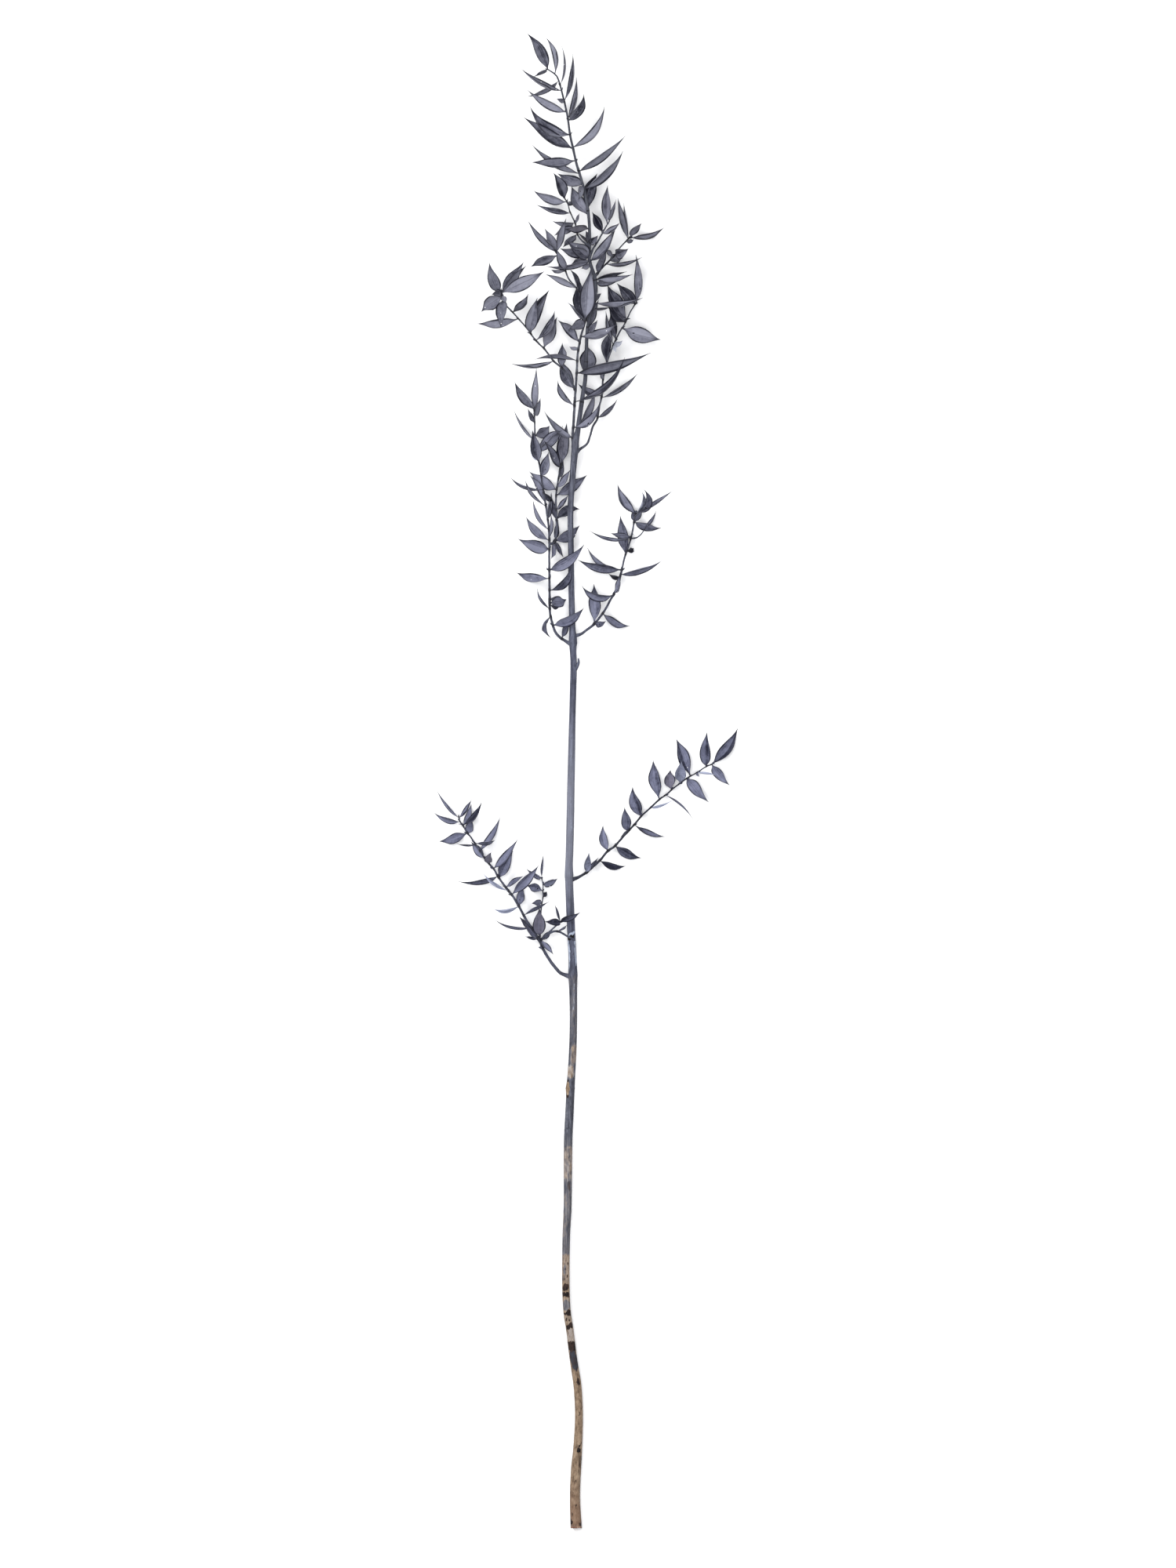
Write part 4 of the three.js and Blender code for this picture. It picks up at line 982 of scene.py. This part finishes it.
spray("crown_front", 31, [
    (-1,15, 2.6,1.2, -1,736, -2.2,745, -1.8,754, -1.1,765.5, -.3,779, .6,792, 1.3,804.5, 2.4,811.6,
     3.9,819, 6.4,828, 5.4,838, 2,849, -4.6,857, -7.6,864, -10.8,871, -14,876.5),
    (2.2,6, 1.9,1.2, -.4,780, -4,788, -9,795, -15,800, -18.5,804.5, -22,809, -26,812.8, -30,817.5,
     -33,822, -36,825.5, -40,830, -44,834.5, -50,841, -52,848)],
    (6.6,829, 10.8,865.6, 10.5,0,1), (6.2,829, 2.4,858, 8,1,-1,10), (5,828, -5.6,841.3, 3,-.8),
    (2.6,813, -12.3,829, 6,-.9), (4.8,828, -5,822, 7), (2.2,808, -4.5,810.5, 2.5,0,-1),
    (2.8,817.5, 29,826.5, 5.5,-2.3,0,6.4), (.8,792, 52.2,806, 6.4,-2.2,1,7.4),
    (-.4,772, 34,802.6, 4.5,-6.4,1), (1,800.5, -28.6,801.6, 3,-2.7,-1),
    (-1.1,769.5, -12.5,786.7, 3.8,3), (-.5,781, -10.5,802, 8.4,1.4),
    (-2.2,747, -21.9,765.4, 4.5,2.4,1), (-1.4,754, 16.6,771.6, 5,-4.3,1),
    (-15.5,800.5, -46,798.8, 3,3), (-10,795.5, -9.4,813.2, 6), (-22,809.5, -13.1,831.2, 8,.3),
    (-27,815.5, -14.7,835.6, 5,-2.6,-1), (-31.5,819.5, -18.3,850.4, 6,1.8,-1,6.8),
    (-31.5,820, -26.7,844, 8.4,1.1,1), (-43.6,834.8, -33.1,847.2, 5.2,-1.4,-1),
    (-41,828.8, -69,826.7, 6,1.5), (-51.6,842.5, -52,823.4, 6.8,-.8,0,7.4),
    (-51.5,845, -65.8,834.8, 9.2,-1.2), (-52,848, -60,868.6, 7.6,1.9),
    (-51.8,848.6, -22,862.6, 9,-1,1), (-51.8,848, -36.3,869.6, 7.4,-.4),
    (-50.5,846, -48.5,840.5, 3.5), (-13.8,876, -33.6,898.2, 3.8,1.5),
    (-13.8,877, -21.8,892.8, 5.5,-.8), (-13.5,875.5, -6.7,899.7, 4.8,.2),
    (-7.4,863.4, -13.6,878, 5,0,1), (-13,873.5, -31.4,866.1, 6.1,-.5),
    (-12.5,872, -8,863, 4.5,0,-1), (.4,851, -21.4,861, 3,-.4,0,4),
    (-8.4,862.4, -17.6,864.2, 2.4,.8), (2.2,849, -4.2,864, 3,-1.8,1),
    (-51.8,848.8, -58.4,846.6, 5), (-51.6,848.4, -34.4,867.2, 4,.3),
)
spray("crown_right", 31, [
    (-1.5,-8, 2.2,1.2, -.4,736, 2.4,738.8, 7.9,743, 10.1,749, 11.9,755, 15,760.5, 16.4,769,
     18.2,777, 19,788, 21.8,800, 25.1,809, 30.1,820, 33.5,825.6, 36,830.5, 38.5,835.7, 42.5,842)],
    (32.5,823.5, 59,815.3, 10,-1,0,10.6), (41.5,841, 41.8,874.5, 5.5,-1.8),
    (35.5,829.5, 22,854, 8.4,.8,-1,9.4), (41,840.4, 28.6,854.6, 8),
    (26,811.5, 20.9,835.5, 3,.8,-1), (34.5,827.5, 22,839.5, 8.5,0,-1), (28,815, 24,833, 6,0,-1),
    (21.6,799, 25,822, 6.5,2.1,-1), (18.3,774.8, 43.2,792.2, 3.2,-2.4), (15.6,761, 29,774, 3,-1.8),
    (26.6,812, 32.5,814.8, 3.6,-1,1), (26.4,811.5, 28,806.6, 2.4,0,1),
    (19,788, 16.8,792.4, 2.2,0,1), (17.8,776.4, 1.6,784.8, 5,1.5,-1),
)
spray("top_left", 28, [
    (0,-4, 1.6,1, 10.2,880, 7,882.3, 4,884.5, 1,889, -.3,896, -2.5,901, -4.2,905, -5.6,910,
     -7.8,914)],
    (-7.8,913.5, -15.5,931.2, 5.8,-1.2,0,7), (-6,911.6, -29.5,919.6, 5.4,2.3),
    (-3.8,903.4, -27.8,909.6, 3.4,1.1), (-.6,897, -16.5,898.5, 3,2), (0,893, -14.8,888.2, 5,-1,-1),
    (-.2,896, 2.5,903, 1.6), (1.2,889, -9,880, 4,0,-1), (-5.6,911, -1.4,909.4, 2.6),
)
spray("top_right", 29, [
    (0,-6, 1.8,1, 12.6,858.5, 15,861.4, 18.6,865.6, 23,870, 27,874, 30.8,879.5, 36,885, 38,887)],
    (36.3,885.5, 29.3,914.2, 4.4,.4), (37,886, 33.5,910.8, 1.8,.6), (37.5,887, 45.8,896.2, 4.2,.4),
    (37.8,886.5, 61.5,893.8, 3.5,-2.8,-1,4), (27.4,874, 36.6,878.4, 5.6,-.6,1,6.8),
    (15,861.5, 21.8,877.8, 4.5,.5,1), (23,870.5, 32.6,872.2, 4.5,.8,-1,6),
    (21,868, 46.2,873, 2.8,-2.3,-1), (26,873, 21.4,878, 3,0,-1), (35,884, 40.2,885.4, 2.2,-.8),
)
spray("mid_left", 30, [
    (0,-3, 2.6,1.4, -2,602.5, -5,604.2, -8,606, -11.6,608.6, -14.3,612, -16.1,617, -17.5,622.6,
     -18.1,628, -18.3,640, -18.4,652, -18.5,662, -18.4,673, -18.8,684, -20,694, -21.4,703,
     -22.9,712, -24.6,724, -26.2,733, -28.3,745, -28.6,757, -29,767),
    (-3.8,-8, 2,1.6, -18.4,673, -15,674.5, -13.4,680, -13.4,690, -13.9,702, -13.4,710, -12.2,718,
     -11,725, -9.6,731)],
    (-18,622.5, -17.3,607.8, 3.2,-4.7,-1), (-16.2,616.5, 5.6,628.6, 6.7,-2.7,1),
    (-9.8,607, -3.5,619, 4.4,.9,-1), (-18.2,628, -26.7,642, 1.9,2.1),
    (-18,632.4, -6.6,634.7, 7.6,-1,-1), (-18.3,641, -4,657.5, 5.5,-5,1),
    (-18.6,649.2, -41.4,653.3, 6.2,1.6), (-18.5,655, 6,673, 7.5,-2.8,1),
    (-18.5,669.5, -40.2,676.7, 8.7,1.2), (-18.6,675.6, -34.7,692.3, 5.5,2.2),
    (-18.8,682.8, -29.8,704.2, 2.7,2.5), (-14,675, 2.6,686.1, 7.4,-1.6,-1),
    (-14.6,674, -17.2,663, 3.4,.8), (-14,675, -8.7,664, 3), (-13.3,690, 2.7,697.6, 6.6,3,-1),
    (-13.4,697, -5.3,707.3, 3.2,-.6,1), (-13.2,707, 7.8,721.5, 7.6,-1.1,-1),
    (-12.8,712.6, -3.8,724.8, 4.4,-.5,1), (-20.9,699.5, -35.2,717.4, 2.4,2.4,1),
    (-22.9,711, -45.7,719.7, 2.2,3.2), (-14.2,711, -32.5,723.8, 7.6,.7),
    (-20.8,700.5, -32.6,721.6, 4.4,-2), (-11.2,726, -22,744.8, 5.6,-.8,1),
    (-24,720, -19,737, 6.4,-.4), (-9.8,729, -6.3,757.2, 7.8,0,1),
    (-11,727, -9.3,755.5, 4.4,1.2,-1), (-26.4,736, -9.4,751.6, 7.4,.6,-1),
    (-25.7,729.5, -30.2,752.2, 7.2,.2,1), (-28.6,748.5, -18.4,755.7, 7.2,-1.3,-1),
    (-28.4,745, -43.2,766.8, 1.8,1.8), (-29,767, -42.6,786, 6,1.6), (-29,766, -27.4,796.2, 4.7),
    (-28.7,762, -24.6,775, 3.6,-.6,-1), (-28.7,758, -33.2,767.6, 3,.8,1),
    (-18.6,677, -17.4,694, 2.6,-1,-1), (-19.6,690, -17,709, 3.4,-.6,-1),
    (-13.3,690, -17.4,708, 4,.4,-1), (-14,676, -12.3,690, 3.6,-.2), (-22.4,709, -16,701, 3.6,0,-1),
    (-11.8,719, -8.6,731.6, 3.6,-.5,-1), (-18.2,634.6, -9.4,635, 3.6,.2,-1),
    (-18.1,630.4, -10.8,629.6, 4,-.2,-1), (-25.6,737.5, -9.6,751.8, 4.2,2.8,1),
    (-26.2,731.5, -31.9,739, 2.6,.5,-1),
)
spray("mid_right", 27, [
    (0,-8, 2.4,1.5, -2,608.4, .6,609.5, 4,610.7, 8,613.6, 12.5,617.1, 16,621.3, 18.8,624.9,
     21.3,628.9, 23.8,633.7, 26.5,638.2, 28.5,643, 30.3,647, 30.9,650.5, 32,655, 33.3,661,
     34.7,666, 36.5,671, 38,676, 39.5,682, 40.5,688, 42,695),
    (-9,-11, 1.2,1, 38.3,677, 42,677.5, 45.2,679.7, 48,683.6)],
    (12.9,617.4, 12.6,645.3, 8.2,-.5,-1), (26.5,638, 4.4,643.8, 5.2,5.4,1),
    (19,624.8, 37.6,616.2, 4.9,-2.7,0,5.5), (14,617.4, 20.9,619.4, 4,-1.4,1),
    (32,655.5, 1.5,662.1, 6,2.6,1), (31.5,655, 8.1,670.6, 3.2,4.6,-1),
    (31.2,650.6, 22.8,652.6, 2.8,1.8,1), (31.3,652, 60.3,661.9, 3.5,-2.6,0,3.9),
    (34.8,666, 31,693, 7.2,.2,-1), (38.6,678.5, 24.1,680.8, 4.4,1,1), (38,676.5, 9.7,682.4, 2.4,3),
    (36,668, 40.3,670.5, 3.5,-.8), (40.7,689, 59.5,684.6, 4.5,-2.3,0,5.2),
    (48,683.6, 56,696.3, 2.4,-.7), (41.8,694, 29,715.1, 5.1,2.1,0,6),
    (42,695, 47.5,711.2, 4.9,-6.4,1), (42,694.5, 68.1,710.7, 2.3,-.8,0,2.8),
    (40.6,688, 46.5,697, 3.6,0,1), (26.8,638.5, 30.2,651, 3.6,-1.1,1),
    (42,695, 46.1,709.3, 2.6,-3.2), (40.4,688.6, 40.5,697.8, 4.2,0,-1),
)
spray("lower_left", 25, [
    (0,-6, 3.2,1.1, -2,371.3, -6.1,372.5, -9.8,373.8, -12.6,376.1, -15.6,379.8, -18.8,384.2,
     -21.4,388.5, -23.2,392, -25,396.2, -28.3,401.6, -30.4,404.9, -32.9,408.7, -34.9,412,
     -37,415.8, -39.7,420.8, -43.7,427.6, -48.2,433.2, -51.4,437.5, -54.6,442.2, -57,446.6,
     -60.2,450.2, -63.4,454.2, -66.7,459.2, -70,464.2, -73.2,469, -75.8,472, -78.4,476.6,
     -80.8,480, -81.4,482.4),
    (-2.6,6.5, 1.8,1.2, -25,396.6, -22,399.6, -18,403.4, -14.5,406.6, -11.5,409.3, -9.5,410.8),
    (.6,5, 2,1.7, -20,401.5, -15.5,403.3, -12,403.2, -9.3,402, -6,400, -3,398.6, -.6,397.4),
    (-2.6,-1, 1.5,.9, -25.4,397, -24.8,403, -24.6,410, -24.3,417, -23.8,422, -22.8,427.5, -23,431,
     -22.8,435.5, -23.8,440.6)],
    (-81.2,482.7, -96.6,501, 2,1.4,-1), (-81,479.6, -98.8,486.1, 3.5,2.3),
    (-80.6,483, -72.4,495.4, 2.8,-.6,1), (-76.9,478.6, -65.4,494.2, 3.8,-2.4,1),
    (-76.8,477.6, -72.8,492.6, 3.8,-.7,-1), (-74.6,471.5, -72,480.6, 5.6,.4),
    (-76,471.6, -95.4,466, 6.6,1.2), (-66,460, -52.7,483, 4.3,-1.4,-1),
    (-69.3,465.6, -56.2,466.9, 2.7,-1.5,1), (-71.2,462.8, -83,464.5, 1.2,1),
    (-63.5,454, -72.8,465.6, 5.6,.4), (-60.7,450.3, -59,458.3, 5.2,1,1),
    (-57,447.3, -40.2,467.9, 5,-.9), (-53,441, -43.8,459.6, 7.2,0,-1),
    (-54.6,441.6, -82,438.2, 3.4,2.8,-1), (-47.6,431, -64.5,443.8, 2.2,1.9,1),
    (-48.6,434.2, -36.6,441.8, 3.4,.4), (-44,429.6, -25.9,449.3, 6.3,-1.1,1),
    (-39.6,421, -36.4,434.6, 5.6,.3,-1), (-40.5,420.5, -57.3,419, 2.7,2.5,1),
    (-31,406, -56.8,411.8, 2,3), (-31,404, -39.5,413.9, 3.3,.7,-1),
    (-34.5,415.5, -18.7,423.9, 2.5,.2,1), (-24,423, -30.6,422.8, 4.6,-.3),
    (-24,400, -25.2,419.8, 9,.4,1), (-10.6,410.2, 3.2,416.7, 4.2,-.4,1),
    (-11.6,411, -14.6,421.9, 1.6,-.1), (-10.8,411, -21.6,410.3, 4.9,.5),
    (-23.5,396.4, -15.7,387.3, 3.6,.3), (-26,398.5, -35.2,399.9, 1.9,.5),
    (-12.4,403.6, -6.2,407.8, 1.5,-.4,1), (-23.2,392, -26.2,392.3, 1.8),
    (-24,398, -16.5,403.5, 3.5,0,-1), (-23.6,440.3, -22.5,457.2, 1.5,.4),
    (-23,431.5, -33.9,435, 5.8,-.4,-1), (-23,435.8, -12.7,440.3, 4,-1.1),
    (-23.8,440.3, -34.3,446.8, 2.8,.9), (-22.8,427, -20.2,431, 3),
    (-26.6,399, -36.2,412.4, 2.8,1.7),
)
spray("lower_right", 24, [
    (0,-8, 2.6,1, -3.5,439.2, -1,440, 2,441.2, 7,444.2, 12,448.4, 17,453, 22,459, 27,462.6, 31,467,
     36,472.6, 41,478, 46,484, 51,488.5, 58,495, 64,499.4, 67,502.2, 73,506.8, 78,510.4, 84,513.7,
     90,517.6, 95,519.9)],
    (7,444.5, 9.1,458.2, 4.7,-.4,1), (8,445, 15.8,454.8, 2.5), (17.5,452, 34.8,448.9, 4.5,-2.4),
    (22.2,459.5, 19,477.3, 5.7,1.5), (28,462.5, 45.7,454.5, 6.2,-1.9,-1),
    (35.6,473, 34,489.8, 6.8,.3), (37,473.5, 30.8,468.5, 2,0,1), (45,484, 39.6,504.2, 7.7,1.9),
    (41,477.5, 62.4,469.3, 3.6,-1.8,-1), (58,495.5, 53.9,522.6, 8,1),
    (66.5,502.3, 66,515.8, 7.5,1,-1), (72.5,506.5, 73.6,522, 7.5,0,1),
    (79.8,511.5, 70,537.4, 8.2,-.3), (90.5,519, 91.6,542.6, 7.4,1),
    (95,520, 112.8,544.8, 7.5,-1.9), (77.5,509.5, 92.5,493.3, 7.8,-.4),
    (95,519.5, 107,505.3, 6.3,-1.1), (85,514, 97.2,512.6, 1.5,0,1),
    (62.5,498.2, 81.7,481.3, 1.3,2), (52,489.5, 66.6,494.3, 1.6,-1,-1), (84,513.5, 86,511, 1.6),
)
